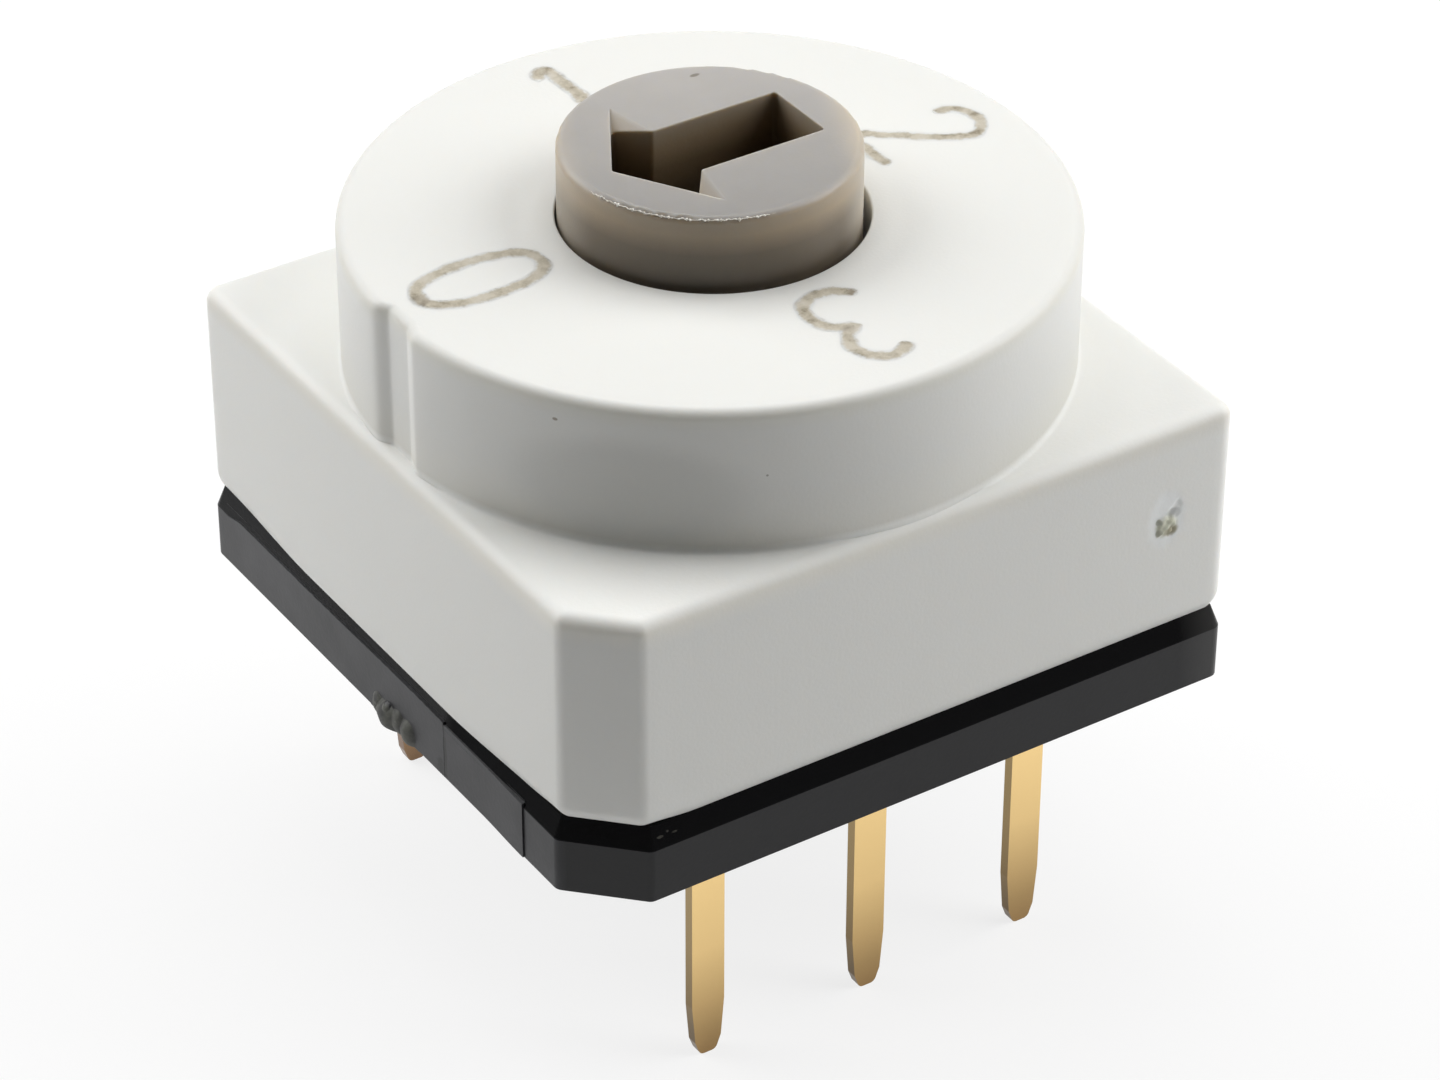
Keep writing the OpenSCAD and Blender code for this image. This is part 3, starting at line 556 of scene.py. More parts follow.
def rolled_spring_steel(colour):
    """Cold-rolled stainless strip: grey, with fine lines along the leaf."""
    made, tree = new_material("stainless_strip_cold_rolled")
    place = add(tree, "ShaderNodeTexCoord").outputs["Object"]
    along = add(tree, "ShaderNodeMapping", {"Vector": place, "Scale": (0.03, 1.0, 1.0)})
    rolled = add(tree, "ShaderNodeTexNoise", {"Vector": along, "Scale": 1 / (0.03 * MM), "Detail": 3.0})
    relief = add(tree, "ShaderNodeBump", {"Height": rolled, "Distance": 0.002 * MM, "Strength": 0.6})
    shader = add(tree, "ShaderNodeBsdfPrincipled", {
        "Base Color": opaque(colour), "Normal": relief, "Metallic": 1.0, "Roughness": 0.3})
    add(tree, "ShaderNodeOutputMaterial", {"Surface": shader})
    return made


def moulded_rubber(colour):
    """Nitrile rubber, moulded: black and dull, with a light bloom."""
    made, tree = new_material("nitrile_rubber_moulded")
    place = add(tree, "ShaderNodeTexCoord").outputs["Object"]
    bloom = add(tree, "ShaderNodeTexNoise", {"Vector": place, "Scale": 1 / (0.3 * MM), "Detail": 4.0})
    tone = add(tree, "ShaderNodeMapRange", {"Value": bloom, "To Min": 0.8, "To Max": 1.5})
    paint = add(tree, "ShaderNodeVectorMath", {0: colour, "Scale": tone}, operation="SCALE")
    shader = add(tree, "ShaderNodeBsdfPrincipled", {
        "Base Color": paint, "Roughness": 0.6, "IOR": 1.52})
    add(tree, "ShaderNodeOutputMaterial", {"Surface": shader})
    return made


def laser_foamed_pbt(colour, grain):
    """Plastic foamed and charred by the marking laser: tan and mottled, its edges fading out.

    The stroke's own number runs from -1 to 1 across it; one noise mottles the tan and a finer one makes the
    fade ragged.
    """
    made, tree = new_material("pbt_laser_marked")
    place = add(tree, "ShaderNodeTexCoord").outputs["Object"]
    across = add(tree, "ShaderNodeAttribute", attribute_name="across").outputs["Fac"]
    from_middle = add(tree, "ShaderNodeMath", {0: across}, operation="ABSOLUTE")
    burns = add(tree, "ShaderNodeTexNoise", {
        "Vector": place, "Scale": 1 / (0.35 * MM), "Detail": 5.0, "Roughness": 0.65})
    tan = shades(tree, burns, (
        (0.36, linear("#8E8370")), (0.44, linear("#B5AA95")), (0.54, linear("#CBC1AD")),
        (0.7, linear("#D8CFBF"))))
    frays = add(tree, "ShaderNodeTexNoise", {
        "Vector": place, "Scale": 1 / (0.07 * MM), "Detail": 4.0, "Roughness": 0.6})
    reach = add(tree, "ShaderNodeMath", {0: frays, 1: 0.8, 2: from_middle}, operation="MULTIPLY_ADD")
    fade = add(tree, "ShaderNodeMapRange", {
        "Value": reach, "From Min": 0.8, "From Max": 1.4}, interpolation_type="SMOOTHSTEP")
    paint = add(tree, "ShaderNodeMix", {0: fade, 6: tan, 7: opaque(colour)}, data_type="RGBA")
    satin_surface(tree, place, paint.outputs[2], grain)
    return made


def arc(centre, radii, start, end, steps):
    """Points on an elliptical arc round a centre, from one angle in degrees to another."""
    turn = np.radians(np.linspace(start, end, steps))
    return np.column_stack([centre[0] + radii[0] * np.cos(turn), centre[1] + radii[1] * np.sin(turn)])


def number_zero():
    """A closed oval, a little squarer than an ellipse: both coordinates are powers of sine and cosine."""
    turn = np.radians(np.linspace(80, 470, 105))
    square = 0.85
    across = np.sign(np.cos(turn)) * np.abs(np.cos(turn)) ** square
    up = np.sign(np.sin(turn)) * np.abs(np.sin(turn)) ** square
    return np.column_stack([0.42 * across + 0.115, 0.88 * up])


def number_one():
    """A curved flag, then the stem."""
    flag = arc((0.13, 0.56), (0.25, 0.3), 165, 90, 14)
    stem = np.column_stack([np.full(30, 0.13), np.linspace(0.8, -0.88, 30)])
    return np.vstack([flag, stem])


def number_two():
    """A hook, a slanting stroke down to the left and a foot."""
    hook = arc((-0.08, 0.55), (0.38, 0.33), 196, -30, 38)
    slant = np.array([(0.06, 0.06), (-0.16, -0.21), (-0.34, -0.44), (-0.49, -0.62), (-0.52, -0.8)])
    foot = np.linspace((-0.44, -0.82), (0.36, -0.82), 22)
    return np.vstack([hook, slant, foot])


def number_three():
    """Two open bowls that meet in a short bar in the middle."""
    lower = arc((0.0, -0.45), (0.42, 0.43), 200, 445, 44)
    upper = arc((0.0, 0.4), (0.33, 0.4), -70, 150, 40)
    return np.vstack([lower, upper])


# Piece, shape, direction in degrees and share of the stroke width of each number
NUMBERS = (("dial_0", number_zero, 180, 1.1), ("dial_1", number_one, 90, 1.2),
           ("dial_2", number_two, 0, 0.95), ("dial_3", number_three, 270, 1.1))
# Height in millimetres that the shapes are drawn at
DRAWN_HEIGHT = 1.78


def even_steps(line, step):
    """The same line with its points a fixed distance apart."""
    run = np.concatenate([[0], np.cumsum(np.linalg.norm(np.diff(line, axis=0), axis=1))])
    at = np.linspace(0, run[-1], max(8, int(run[-1] / step)))
    return np.column_stack([np.interp(at, run, line[:, 0]), np.interp(at, run, line[:, 1])])


def uneven(rng, count, waves, swing):
    """A smooth random wobble about zero: sines summed, each of random phase and size."""
    t = np.linspace(0, 1, count)
    total = np.zeros(count)
    for k in waves:
        total += np.sin(2 * np.pi * (k * t + rng.random())) * rng.uniform(0.5, 1)
    return swing * total / len(waves)


def grid_faces(rows, columns, closed_rows=False, closed_columns=True):
    """Quads of a grid of points, row after row; closed rows or columns run on from the last to the first."""
    i, j = np.meshgrid(np.arange(rows if closed_rows else rows - 1),
                       np.arange(columns if closed_columns else columns - 1), indexing="ij")
    here, there = i * columns, (i + 1) % rows * columns
    after = (j + 1) % columns
    return np.column_stack([corner.ravel() for corner in (here + j, here + after, there + after, there + j)])


def laser_track(line, width, raised, base_z, rng):
    """Points, faces and place across of one stroke: a low dome whose width wanders as the laser's spots do.

    Across the line s runs from -1 to 1, and the height over the face is raised * (1 - s * s); the underside
    lies just below the face. Both ends close in a half circle.
    """
    line = even_steps(line, width / 10)
    count = len(line)
    ahead = np.gradient(line, axis=0)
    ahead /= np.linalg.norm(ahead, axis=1, keepdims=True)
    side = np.column_stack([-ahead[:, 1], ahead[:, 0]])
    run = np.concatenate([[0], np.cumsum(np.linalg.norm(np.diff(line, axis=0), axis=1))])
    near_end = 1 - np.clip(np.minimum(run, run[-1] - run) / (width / 2), 0, 1)
    close = np.sqrt(np.clip(1 - near_end ** 2, 0.02, 1))
    waves = [count / 12, count / 20, count / 33]
    left = width / 2 * close * (1 + uneven(rng, count, waves, 0.3))
    right = width / 2 * close * (1 + uneven(rng, count, waves, 0.3))
    across = np.linspace(-1, 1, 11)
    reach = np.where(across[None, :] > 0, left[:, None], right[:, None]) * across[None, :]
    flat = line[:, None, :] + reach[:, :, None] * side[:, None, :]
    rise = np.broadcast_to(raised * (1 - across ** 2) - 0.1 * raised, reach.shape)
    top = np.concatenate([flat, (base_z + rise)[:, :, None]], axis=2)
    under = top[:, [-1, 0], :].copy()
    under[:, :, 2] = base_z - raised
    rings = np.concatenate([top, under], axis=1)
    n = rings.shape[1]
    first = np.arange(n)
    last = (count - 1) * n + first
    # the ends of a stroke count as its rim, so that its colour fades there too
    rim = np.maximum(np.abs(np.append(across, [1, 1]))[None, :], near_end[:, None])
    return rings.reshape(-1, 3), [*grid_faces(count, n)[:, ::-1], first, last[::-1]], rim.ravel()


def loop_stops():
    """Where the points lie along each straight side, as shares of its length: closer at the notch and gate.

    The sides are +Y, -X with the notch, the bevel, -Y with the gate, and +X.
    """
    def spaced(*stops):
        parts = [np.linspace(a, b, n, endpoint=False) for a, b, n in stops]
        return np.concatenate(parts)[1:]
    even = spaced((0, 1, 54))
    left = spaced((0, 0.44, 24), (0.44, 0.64, 72), (0.64, 1, 20))
    front = spaced((0, 0.84, 46), (0.84, 0.965, 52), (0.965, 1, 3))
    return even, left, spaced((0, 1, 6)), front, even


def square_loop(half, bevel, radius):
    """Points round a square with one bevelled corner and round corners, and the outward normal at each.

    Each corner is an arc about its own centre. An outline drawn in by e is points - e * normals, because
    the centres stay where they are.
    """
    inner, cut = half - radius, bevel - radius * (2 - math.sqrt(2))
    centres = np.array([(inner, inner), (-inner, inner), (-inner, cut - inner), (cut - inner, -inner),
                        (inner, -inner)])
    turns = np.radians([(0, 90), (90, 180), (180, 225), (225, 270), (270, 360)])
    points, normals = [], []
    for k, stops in enumerate(loop_stops()):
        turn = np.linspace(*turns[k], 10)
        unit = np.column_stack([np.cos(turn), np.sin(turn)])
        points.append(centres[k] + radius * unit)
        normals.append(unit)
        start, end = centres[k] + radius * unit[-1], centres[(k + 1) % 5] + radius * unit[-1]
        points.append(start + stops[:, None] * (end - start))
        normals.append(np.broadcast_to(unit[-1], (len(stops), 2)))
    return np.vstack(points), np.vstack(normals)


def eased(value, start, end):
    """0 before start, 1 after end, and the cubic share * share * (3 - 2 * share) between."""
    share = np.clip((value - start) / (end - start), 0, 1)
    return share * share * (3 - 2 * share)


def hinge(value, softness):
    """The value where it is positive and 0 where it is negative, the bend between rounded over softness.

    It is half of value + the root of value squared + softness squared.
    """
    return (value + np.sqrt(value ** 2 + softness ** 2)) / 2


# Bends of the index notch from +Y on: place along Y in millimetres, change of slope, and softness in
# millimetres. They make a steep side, a nearly flat floor and a ramp out
NOTCH_BENDS = ((0.34, 0.75, 0.09), (0.164, -0.78, 0.03), (-0.315, -0.43, 0.02), (-0.565, 0.46, 0.03))


def notch_depth(y):
    """Depth of the index notch at a place along Y, in metres: the sum of its bends, each a hinge."""
    return sum(slope * hinge(place * MM - y, softness * MM) for place, slope, softness in NOTCH_BENDS)


def gate_relief(x, z):
    """How far the torn gate's mark lies below the face at -Y: a dish with a broken stub, a facet and a pit.

    The dish and the pit are ovals, the others boxes with eased edges, in millimetres from the mark's middle
    and bent by a few sines so that nothing is straight.
    """
    dish_depth, stub_height, pit_depth, facet_depth = 0.01, 0.03, 0.03, 0.02
    u, w = (x - GATE[0]) / MM, (z - GATE[2]) / MM
    bent_u, bent_w = u + 0.02 * np.sin(31 * w + 1), w + 0.02 * np.sin(27 * u)
    dish = 1 - eased(np.hypot(bent_u / 0.3, bent_w / 0.46), 0.5, 1.1)
    stub = eased(0.15 - np.abs(bent_u), 0, 0.05) * eased(0.15 - np.abs(bent_w + 0.11), 0, 0.05)
    facet = eased(0.12 - np.abs(bent_u - 0.12), 0, 0.06)
    facet = facet * eased(0.1 - np.abs(bent_w - 0.06 - 0.5 * u), 0, 0.08)
    pit = eased(0.09 - np.hypot(u - 0.07, w + 0.22), 0, 0.05)
    rough = 0.012 * np.sin(43 * u + 2) * np.sin(37 * w)
    return MM * (dish_depth * dish - stub * (stub_height + rough) + pit_depth * pit + facet_depth * facet)


def quarter_turn(steps):
    """Sine and cosine at even steps of a quarter turn."""
    return [(math.sin(turn), math.cos(turn)) for turn in np.linspace(0, math.pi / 2, steps)]


def housing_points(size):
    """Rings of points from the housing's foot up its outside, in over the boss and down inside to the foot.

    Every ring is the loop of square_loop, drawn in, or a circle with a point at each of the loop's angles.
    """
    foot_fillet, hole_lip, play_way = 0.05 * MM, 0.03 * MM, np.array([0.26, -0.966])
    outline, normals = square_loop(SIDE, size.bevel, size.corner_radius)
    plug, _ = square_loop(size.plug_half, 0.5 * MM, 0.1 * MM)
    around = np.arctan2(outline[:, 1], outline[:, 0])
    unit = np.column_stack([np.cos(around), np.sin(around)])
    rings = []

    def lay(flat, height):
        rings.append(np.column_stack([flat, np.broadcast_to(height, len(flat))]))

    # the foot is drawn in, less in the middle of the left side, and stands off at the bevelled corner
    straight = 0.99
    on_left, on_front = normals[:, 0] < -straight, normals[:, 1] < -straight
    y = outline[:, 1]
    bow = size.bow * on_left * eased(-y, -4.8 * MM, -2.2 * MM) * eased(y, -3.9 * MM, -1.3 * MM)
    corner = np.hypot(*(outline + SIDE - size.bevel / 2).T)
    lift = size.lift * (1 - eased(corner, 0.45 * MM, 1.3 * MM))
    for share in (0, 0.08, 0.2, 0.35, 0.5, 0.65, 0.8, 1):
        inset = (size.seam_inset - bow) * (1 - share) ** 2
        lay(outline - inset[:, None] * normals, SEAM_Z + share * size.seam_height + lift * (1 - share))

    # the sides, with rings close together at the gate's mark
    shoulder = size.body_height - size.top_radius
    low, high = GATE[2] - 0.55 * MM, GATE[2] + 0.55 * MM
    for height in (0.3 * (SEAM_Z + size.seam_height) + 0.7 * low, *np.linspace(low, high, 48),
                   (high + shoulder) / 2):
        relief = np.where(on_front, gate_relief(outline[:, 0], height), 0)
        lay(outline - relief[:, None] * normals, height)

    # the round top edge stops where it meets the boss, whose foot has a small fillet
    near_left = unit[:, 0] < -0.9
    notch_radius = 0.995 * size.boss_radius
    boss = size.boss_radius - np.where(near_left, notch_depth(notch_radius * unit[:, 1]), 0)
    along = (outline * normals).sum(axis=1)
    meets = along - np.sqrt(np.maximum(along ** 2 - (outline ** 2).sum(axis=1) + boss ** 2, 0))
    edge = np.minimum(np.where(meets > 0, meets, size.top_radius), size.top_radius)
    stop = np.arccos(np.clip(1 - edge / size.top_radius, -1, 1))
    for share in np.linspace(0, 1, 9):
        inset = size.top_radius * (1 - np.cos(share * stop))
        lay(outline - inset[:, None] * normals, shoulder + size.top_radius * np.sin(share * stop))
    last = rings[-1]
    room = np.maximum(np.hypot(last[:, 0], last[:, 1]) - boss, 0)
    fillet = np.minimum(foot_fillet, 0.9 * room)
    foot = (boss + fillet)[:, None] * unit
    for share in (0.15, 0.4, 0.7):
        lay(last[:, :2] + share * (foot - last[:, :2]), last[:, 2])
    for sine, cosine in quarter_turn(5):
        lay((boss + fillet * (1 - sine))[:, None] * unit, last[:, 2] + fillet * (1 - cosine))

    # the boss's side, its soft top edge and its top
    rise = last[:, 2] + fillet
    rim = BOSS_TOP - size.boss_edge
    for share in (0.05, 0.35, 0.7):
        lay(boss[:, None] * unit, rise + share * (rim - rise))
    for sine, cosine in quarter_turn(11):
        lay((boss - size.boss_edge * (1 - cosine))[:, None] * unit, rim + size.boss_edge * sine)
    middle = size.hole_play * play_way
    outer, inner = (boss - size.boss_edge)[:, None] * unit, middle + (size.hole_radius + hole_lip) * unit
    for share in (0.04, 0.25, 0.55, 0.9):
        lay(outer + share * (inner - outer), BOSS_TOP)
    for sine, cosine in quarter_turn(5):
        lay(middle + (size.hole_radius + hole_lip * (1 - sine)) * unit, BOSS_TOP - hole_lip * (1 - cosine))
    lay(middle + size.hole_radius * unit, size.seat_top)

    # down through the hole, the seal's seat, the cavity and the plug's room
    for radius, height in ((size.seat_radius, size.seat_top), (size.seat_radius, size.cavity_top),
                           (size.cavity_radius, size.cavity_top), (size.cavity_radius, size.plug_top)):
        lay(radius * unit, height)
    lay(plug, size.plug_top)
    lay(plug, SEAM_Z)
    return np.vstack(rings), grid_faces(len(rings), len(outline), closed_rows=True)


def rim_flash(start, end, rng):
    """Points and faces of the torn flash: a thin bead round part of the knob's top edge, its size wandering.

    The bead is a ring of eight points about an arc, from one angle in degrees to another. Its thickness is a
    small base plus a wobble and the wobble's fourth power, so that most of it is fine and a few places swell.
    """
    count, corners, edge_radius, below_top = 420, 8, 1.945 * MM, 0.028 * MM
    turn = np.radians(np.linspace(start, end, count))
    wobble = np.abs(uneven(rng, count, [13, 21, 34, 45], 1.6))
    ends = eased(np.minimum(np.arange(count), count - 1 - np.arange(count)), 0, 40)
    thick = (0.002 + 0.014 * wobble + 0.01 * np.minimum(wobble, 1) ** 4) * MM * ends + 0.0015 * MM
    radius = edge_radius + 0.012 * MM * uneven(rng, count, [9, 23, 41], 1)
    level = KNOB_TOP - below_top + 0.01 * MM * uneven(rng, count, [13, 31], 1)
    round_it = np.linspace(0, 2 * math.pi, corners, endpoint=False)
    reach = radius[:, None] + thick[:, None] * np.cos(round_it)
    points = np.stack([reach * np.cos(turn)[:, None], reach * np.sin(turn)[:, None],
                       level[:, None] + thick[:, None] * np.sin(round_it)], axis=2)
    first = np.arange(corners)
    last = (count - 1) * corners + first
    return points.reshape(-1, 3), [*grid_faces(count, corners)[:, ::-1], first, last[::-1]]


def swollen_face(face_x, y_range, z_range, steps, swell):
    """Points and faces of a low relief on the base's left face, closed behind the face.

    swell(y, z) gives how far it stands out at a place, all in millimetres, and below zero where it ends.
    """
    depth_behind = 0.06
    y = np.linspace(y_range[1], y_range[0], steps[0])[None, :]
    z = np.linspace(*z_range, steps[1])[:, None]
    out = face_x / MM - swell(y, z)
    behind = np.full((1, steps[0]), face_x / MM + depth_behind)
    x = np.concatenate([behind, out, behind], axis=0)
    z = np.concatenate([z[:1], z, z[-1:]], axis=0)
    points = np.stack(np.broadcast_arrays(x, y, z), axis=2) * MM
    faces = grid_faces(steps[1] + 2, steps[0], closed_rows=True, closed_columns=False)
    first = np.arange(steps[1] + 2) * steps[0]
    return points.reshape(-1, 3), [*faces, first, (first + steps[0] - 1)[::-1]]


# Middle and half sizes along Y and Z, and height, of each lump of the base's torn gate, in millimetres
LUMPS = ((0.17, 0.1, 0.33, 0.23, 0.125), (-0.1, 0.17, 0.17, 0.2, 0.085), (-0.34, 0.14, 0.19, 0.21, 0.09),
         (0.43, 0.15, 0.15, 0.19, 0.07))


def torn_lumps(y, z):
    """Height of the torn gate's lumps on the base: the greatest of a few low domes, a little uneven."""
    tall = [out * np.clip(1 - ((y - mid_y) / ry) ** 2 - ((z - mid_z) / rz) ** 2, 0, 1)
            for mid_y, mid_z, ry, rz, out in LUMPS]
    grit = 1 + 0.08 * np.sin(13 * y + 9 * z) * np.sin(17 * z + 1)
    return np.maximum.reduce(tall) * grit - 0.004


def turned_in(z, top):
    """How far a relief's top edge is turned in, in millimetres: nothing up to top, then a quick fall."""
    return 0.05 * np.clip((z - top) / 0.008, 0, 1)


def panel_face(y, z):
    """Height of the plate over the panel: flush at its far end, proud at its near end, its top turned in."""
    proud, sunk, top = 0.022, 0.001, 0.866
    return proud * eased(-y, 2.2, 3.22) - sunk - turned_in(z, top)


def seam_lip(y, z):
    """Height of the lip: flush with the face, its top edge turned in, sinking away at the far end.

    The top edge rises in a low bell beside the torn gate.
    """
    proud, level, bell, middle, spread, sinking = 0.002, 0.872, 0.033, -0.2, 1.6, 0.08
    top = level + bell * np.exp(-((y - middle) / spread) ** 2) - sinking * eased(y, 4.1, 4.6)
    return proud - turned_in(z, top)


class SWITCH_OT_plastics(bpy.types.Operator):
    """Gives the rotor and the base their plastics"""

    bl_idname = "switch.plastics"
    bl_label = "Plastics"

    def execute(self, context):
        settings = context.scene.switch_plastics
        dress(["rotor"], moulded_polyamide(tuple(settings.rotor_colour)))
        dress(["base"], moulded_black_pbt(tuple(settings.base_colour), settings.base_grain, BASE_BEVEL_Z))
        return {"FINISHED"}


class SWITCH_OT_housing(bpy.types.Operator):
    """Makes the housing's shell with its soft edges, its notch and the mark of its gate"""

    bl_idname = "switch.housing"
    bl_label = "Housing"

    def execute(self, context):
        plastic = context.scene.switch_plastics
        white = moulded_pbt(tuple(plastic.housing_colour), plastic.housing_grain)
        points, faces = housing_points(context.scene.switch_housing)
        shell = new_piece("housing_shell", points, faces, white, SWITCH_BODY, sharp=32)
        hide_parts("housing")
        return {"FINISHED"}


class SWITCH_OT_moulding_marks(bpy.types.Operator):
    """Adds the flash on the knob's rim, and the base's torn gate, seam lip and panel plate"""

    bl_idname = "switch.moulding_marks"
    bl_label = "Moulding Marks"

    def execute(self, context):
        plastic = context.scene.switch_plastics
        # the added pieces have no bevel, so theirs starts out of reach
        black = moulded_black_pbt(tuple(plastic.base_colour), plastic.base_grain, BOSS_TOP)
        points, faces = rim_flash(start=186, end=262, rng=np.random.default_rng(11))
        new_piece("rim_flash", points, faces, glinting_flash(), ROTOR_SET)
        points, faces = swollen_face(-SIDE, (-0.6, 0.65), (0.004, 0.45), (100, 44), torn_lumps)
        new_piece("base_gate", points, faces, torn_black_pbt(), SWITCH_BODY)
        for name, along, up, steps, swell in (
                ("base_lip", (-1.27, 4.6), (0.76, 0.93), (300, 80), seam_lip),
                ("base_panel", (-3.25, -1.275), (0.02, 0.9), (160, 220), panel_face)):
            points, faces = swollen_face(-SIDE, along, up, steps, swell)
            new_piece(name, points, faces, black, SWITCH_BODY, sharp=30)
        return {"FINISHED"}


class SWITCH_OT_contacts(bpy.types.Operator):
    """Plates the terminals and the wiper"""

    bl_idname = "switch.contacts"
    bl_label = "Contacts"

    def execute(self, context):
        gold = gold_flash(tuple(context.scene.switch_plating.gold_colour))
        dress([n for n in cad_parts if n.startswith("terminal_") or n == "wiper"], gold)
        return {"FINISHED"}


class SWITCH_OT_springs_and_seal(bpy.types.Operator):
    """Finishes the detent leaves and the seal ring"""

    bl_idname = "switch.springs_and_seal"
    bl_label = "Springs and Seal"

    def execute(self, context):
        steel = rolled_spring_steel(tuple(context.scene.switch_plating.steel_colour))
        dress([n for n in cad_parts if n.startswith("detent_spring_")], steel)
        dress(["o_ring"], moulded_rubber(linear("#1C1C1C")))
        return {"FINISHED"}


class SWITCH_OT_dial_numbers(bpy.types.Operator):
    """Marks the numbers 0 to 3 round the boss"""

    bl_idname = "switch.dial_numbers"
    bl_label = "Dial Numbers"

    def execute(self, context):
        settings = context.scene.switch_dial
        rng = np.random.default_rng(settings.seed)
        plastic = context.scene.switch_plastics
        marked = laser_foamed_pbt(tuple(plastic.housing_colour), plastic.housing_grain)
        for name, shape, angle, share in NUMBERS:
            line = shape() * settings.number_height / DRAWN_HEIGHT
            turn = math.radians(angle)
            up = np.array([math.cos(turn), math.sin(turn)])
            right = np.array([up[1], -up[0]])
            line = line[:, :1] * right + (line[:, 1:] + settings.ring_radius) * up
            width = share * settings.stroke_width
            points, faces, across = laser_track(line, width, settings.raised, BOSS_TOP, rng)
            new_piece(name, points, faces, marked, SWITCH_BODY, across=across, sharp=30)
        return {"FINISHED"}


def softbox(name, azimuth, elevation, distance, radiance):
    """Adds a square area lamp that looks at the origin, its half side 0.4 of its distance."""
    side = 0.8 * distance
    lamp = bpy.data.lights.new(name, "AREA")
    lamp.shape = "SQUARE"
    lamp.size = side
    lamp.energy = radiance * math.pi * side ** 2
    made = bpy.data.objects.new(name, lamp)
    turn, tilt = math.radians(azimuth), math.radians(elevation)
    out = Vector((math.cos(tilt) * math.cos(turn), math.cos(tilt) * math.sin(turn), math.sin(tilt)))
    made.location = out * distance
    made.rotation_mode = "QUATERNION"
    made.rotation_quaternion = out.to_track_quat("Z", "Y")
    made.visible_camera = False
    bpy.context.scene.collection.objects.link(made)


def floor_material():
    """Matt white floor, clear from below. The camera and reflections see it mixed with plain white.

    The shadow still shows, and the light that the floor gives back is that of a slightly grey board.
    """
    made, tree = new_material("floor_matt_white")
    path = add(tree, "ShaderNodeLightPath")
    bounce = add(tree, "ShaderNodeBsdfDiffuse", {"Color": opaque((0.76, 0.76, 0.76))})
    paint = add(tree, "ShaderNodeBsdfDiffuse", {"Color": opaque((1.0, 1.0, 1.0))})
    white = add(tree, "ShaderNodeEmission", {"Color": opaque((1.0, 1.0, 1.0)), "Strength": 1.0})
    mirrored = add(tree, "ShaderNodeMath", {
        0: path.outputs["Is Glossy Ray"], 1: path.outputs["Is Transmission Ray"]}, operation="MAXIMUM")
    share = add(tree, "ShaderNodeMath", {0: path.outputs["Is Camera Ray"], 1: 0.8}, operation="MULTIPLY")
    lifted = add(tree, "ShaderNodeMath", {0: mirrored, 1: 0.5, 2: share}, operation="MULTIPLY_ADD")
    seen = add(tree, "ShaderNodeMixShader", {"Fac": lifted, 1: paint, 2: white})
    board = add(tree, "ShaderNodeMixShader", {"Fac": path.outputs["Is Diffuse Ray"], 1: seen, 2: bounce})
    clear = add(tree, "ShaderNodeBsdfTransparent")
    faces_down = add(tree, "ShaderNodeNewGeometry").outputs["Backfacing"]
    mixed = add(tree, "ShaderNodeMixShader", {"Fac": faces_down, 1: board, 2: clear})
    add(tree, "ShaderNodeOutputMaterial", {"Surface": mixed})
    return made


# Azimuth and elevation in degrees of each softbox; its radiance is the setting of the same first name
SOFTBOXES = {"left": (125, 35), "right": (337, 35), "top": (60, 70)}

# The camera, fitted to the photo: its place in millimetres, the ways to its right and to its back, and its
# focal length for a sensor 36 mm wide
CAMERA_PLACE = Vector((-30.027, -46.172, 39.194))
CAMERA_RIGHT = Vector((0.83776, -0.54603, 0.00225))
CAMERA_BACK = Vector((-0.45041, -0.68872, 0.56815))
FOCAL_LENGTH = 124.84


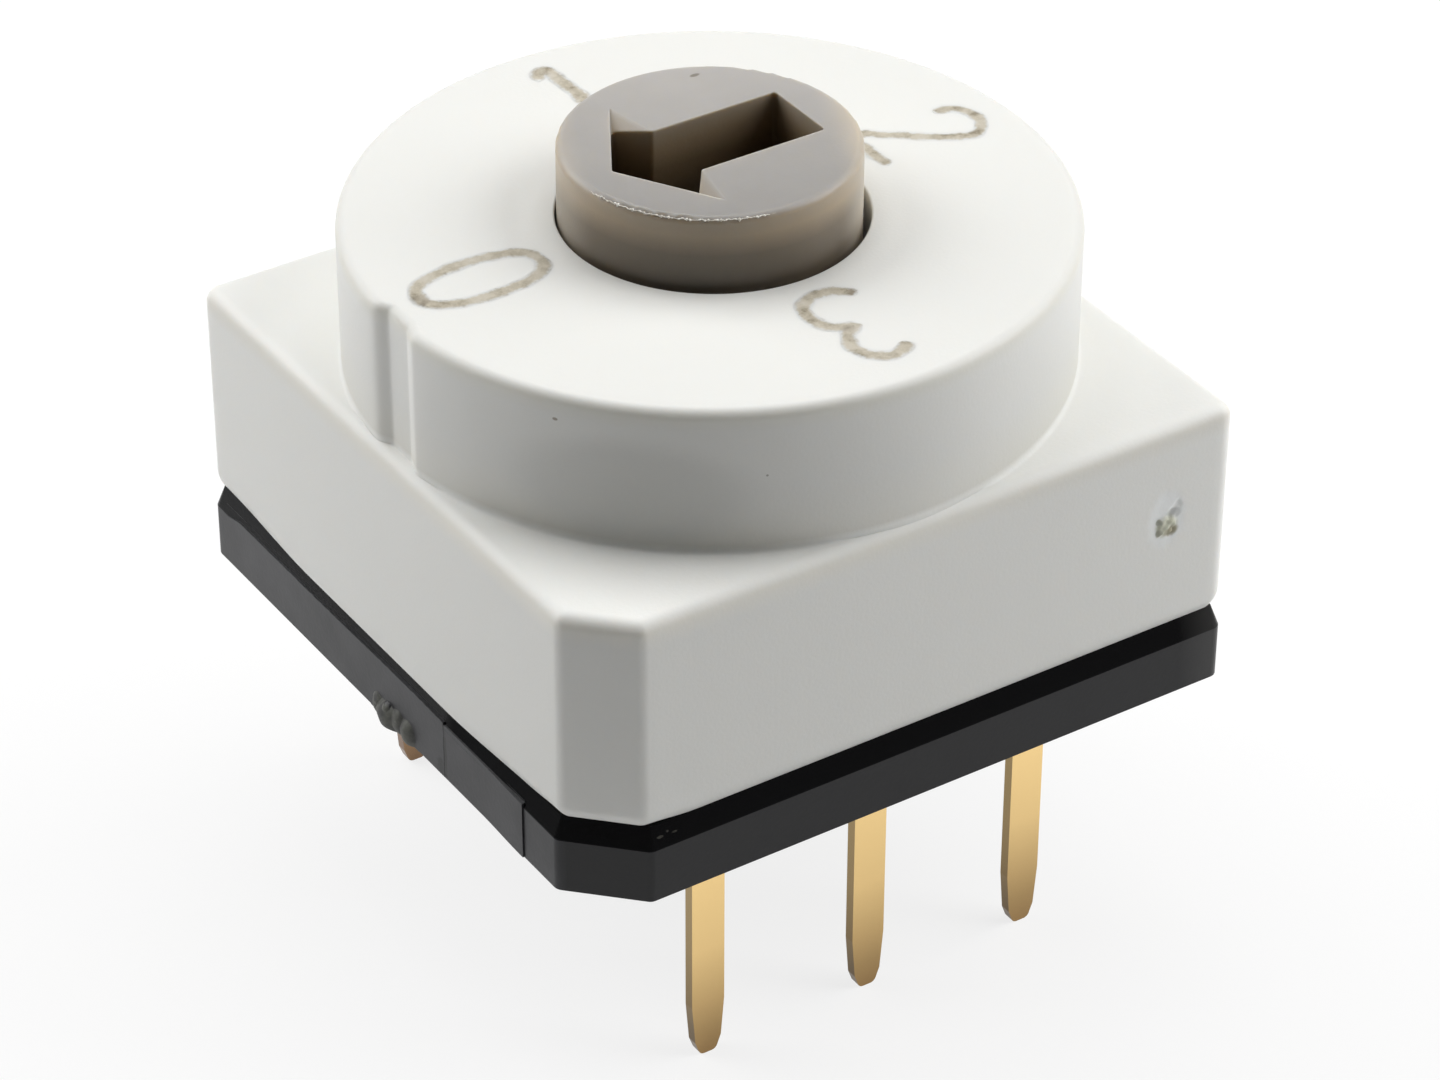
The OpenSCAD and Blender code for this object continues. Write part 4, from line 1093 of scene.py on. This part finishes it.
class SWITCH_OT_studio(bpy.types.Operator):
    """Sets up the floor, the three softboxes, the surroundings and the camera"""

    bl_idname = "switch.studio"
    bl_label = "Studio"

    def execute(self, context):
        scene = context.scene
        settings = scene.switch_studio
        corners = 96
        turn = np.radians(np.linspace(0, 360, corners, endpoint=False))
        rings = np.array([0.0005, 0.01, 0.04, 0.2, 1.0])[:, None] * settings.floor_radius
        level = np.full((len(rings), corners), PIN_TIP_Z)
        points = np.stack([rings * np.cos(turn), rings * np.sin(turn), level], axis=2)
        faces = [*grid_faces(len(rings), corners)[:, ::-1], np.arange(corners)]
        mesh = bpy.data.meshes.new("floor")
        mesh.from_pydata(points.reshape(-1, 3).tolist(), [], [list(map(int, f)) for f in faces])
        mesh.materials.append(floor_material())
        floor = bpy.data.objects.new("floor", mesh)
        scene.collection.objects.link(floor)
        for side, (azimuth, elevation) in SOFTBOXES.items():
            radiance = getattr(settings, side + "_radiance")
            softbox("softbox_" + side, azimuth, elevation, settings.softbox_distance, radiance)
        world = bpy.data.worlds.new("studio")
        world.use_nodes = True
        world.node_tree.nodes.clear()
        tree = world.node_tree
        path = add(tree, "ShaderNodeLightPath")
        dim = add(tree, "ShaderNodeMapRange", {
            "Value": path.outputs["Is Diffuse Ray"], "To Min": 0.12, "To Max": 0.01})
        sky = add(tree, "ShaderNodeBackground", {"Color": opaque((1, 1, 1)), "Strength": dim})
        add(tree, "ShaderNodeOutputWorld", {"Surface": sky})
        scene.world = world
        lens = bpy.data.cameras.new("camera")
        lens.sensor_width = 36.0
        lens.lens = FOCAL_LENGTH
        lens.clip_start = 1 * MM
        lens.clip_end = 2.0
        camera = bpy.data.objects.new("camera", lens)
        back = CAMERA_BACK.normalized()
        up = back.cross(CAMERA_RIGHT).normalized()
        turned = Matrix((up.cross(back), up, back)).transposed().to_4x4()
        camera.matrix_world = Matrix.Translation(CAMERA_PLACE * MM) @ turned
        scene.collection.objects.link(camera)
        scene.camera = camera
        scene.view_settings.view_transform = "Standard"
        return {"FINISHED"}


class SWITCH_PT_panel(bpy.types.Panel):
    """Lists the steps in the order in which they are made"""

    bl_label = "Rotary Switch"
    bl_idname = "SWITCH_PT_panel"
    bl_space_type = "VIEW_3D"
    bl_region_type = "UI"
    bl_category = "Rotary Switch"

    def draw(self, context):
        for step in STEPS:
            self.layout.operator(step.bl_idname)


GROUPS = {"switch_plastics": PlasticSettings, "switch_housing": HousingSettings,
          "switch_plating": PlatingSettings, "switch_dial": DialSettings, "switch_studio": StudioSettings}
STEPS = (SWITCH_OT_plastics, SWITCH_OT_housing, SWITCH_OT_contacts, SWITCH_OT_springs_and_seal,
         SWITCH_OT_dial_numbers, SWITCH_OT_moulding_marks, SWITCH_OT_studio)


def register():
    for made in (*GROUPS.values(), *STEPS, SWITCH_PT_panel):
        bpy.utils.register_class(made)
    for name, group in GROUPS.items():
        setattr(bpy.types.Scene, name, PointerProperty(type=group))


def unregister():
    for name in GROUPS:
        delattr(bpy.types.Scene, name)
    for made in reversed((*GROUPS.values(), *STEPS, SWITCH_PT_panel)):
        bpy.utils.unregister_class(made)


def main():
    """Registers the classes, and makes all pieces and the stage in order."""
    register()
    bpy.ops.switch.plastics()
    bpy.ops.switch.housing()
    bpy.ops.switch.contacts()
    bpy.ops.switch.springs_and_seal()
    bpy.ops.switch.dial_numbers()
    bpy.ops.switch.moulding_marks()
    bpy.ops.switch.studio()


if __name__ == "__main__":
    main()
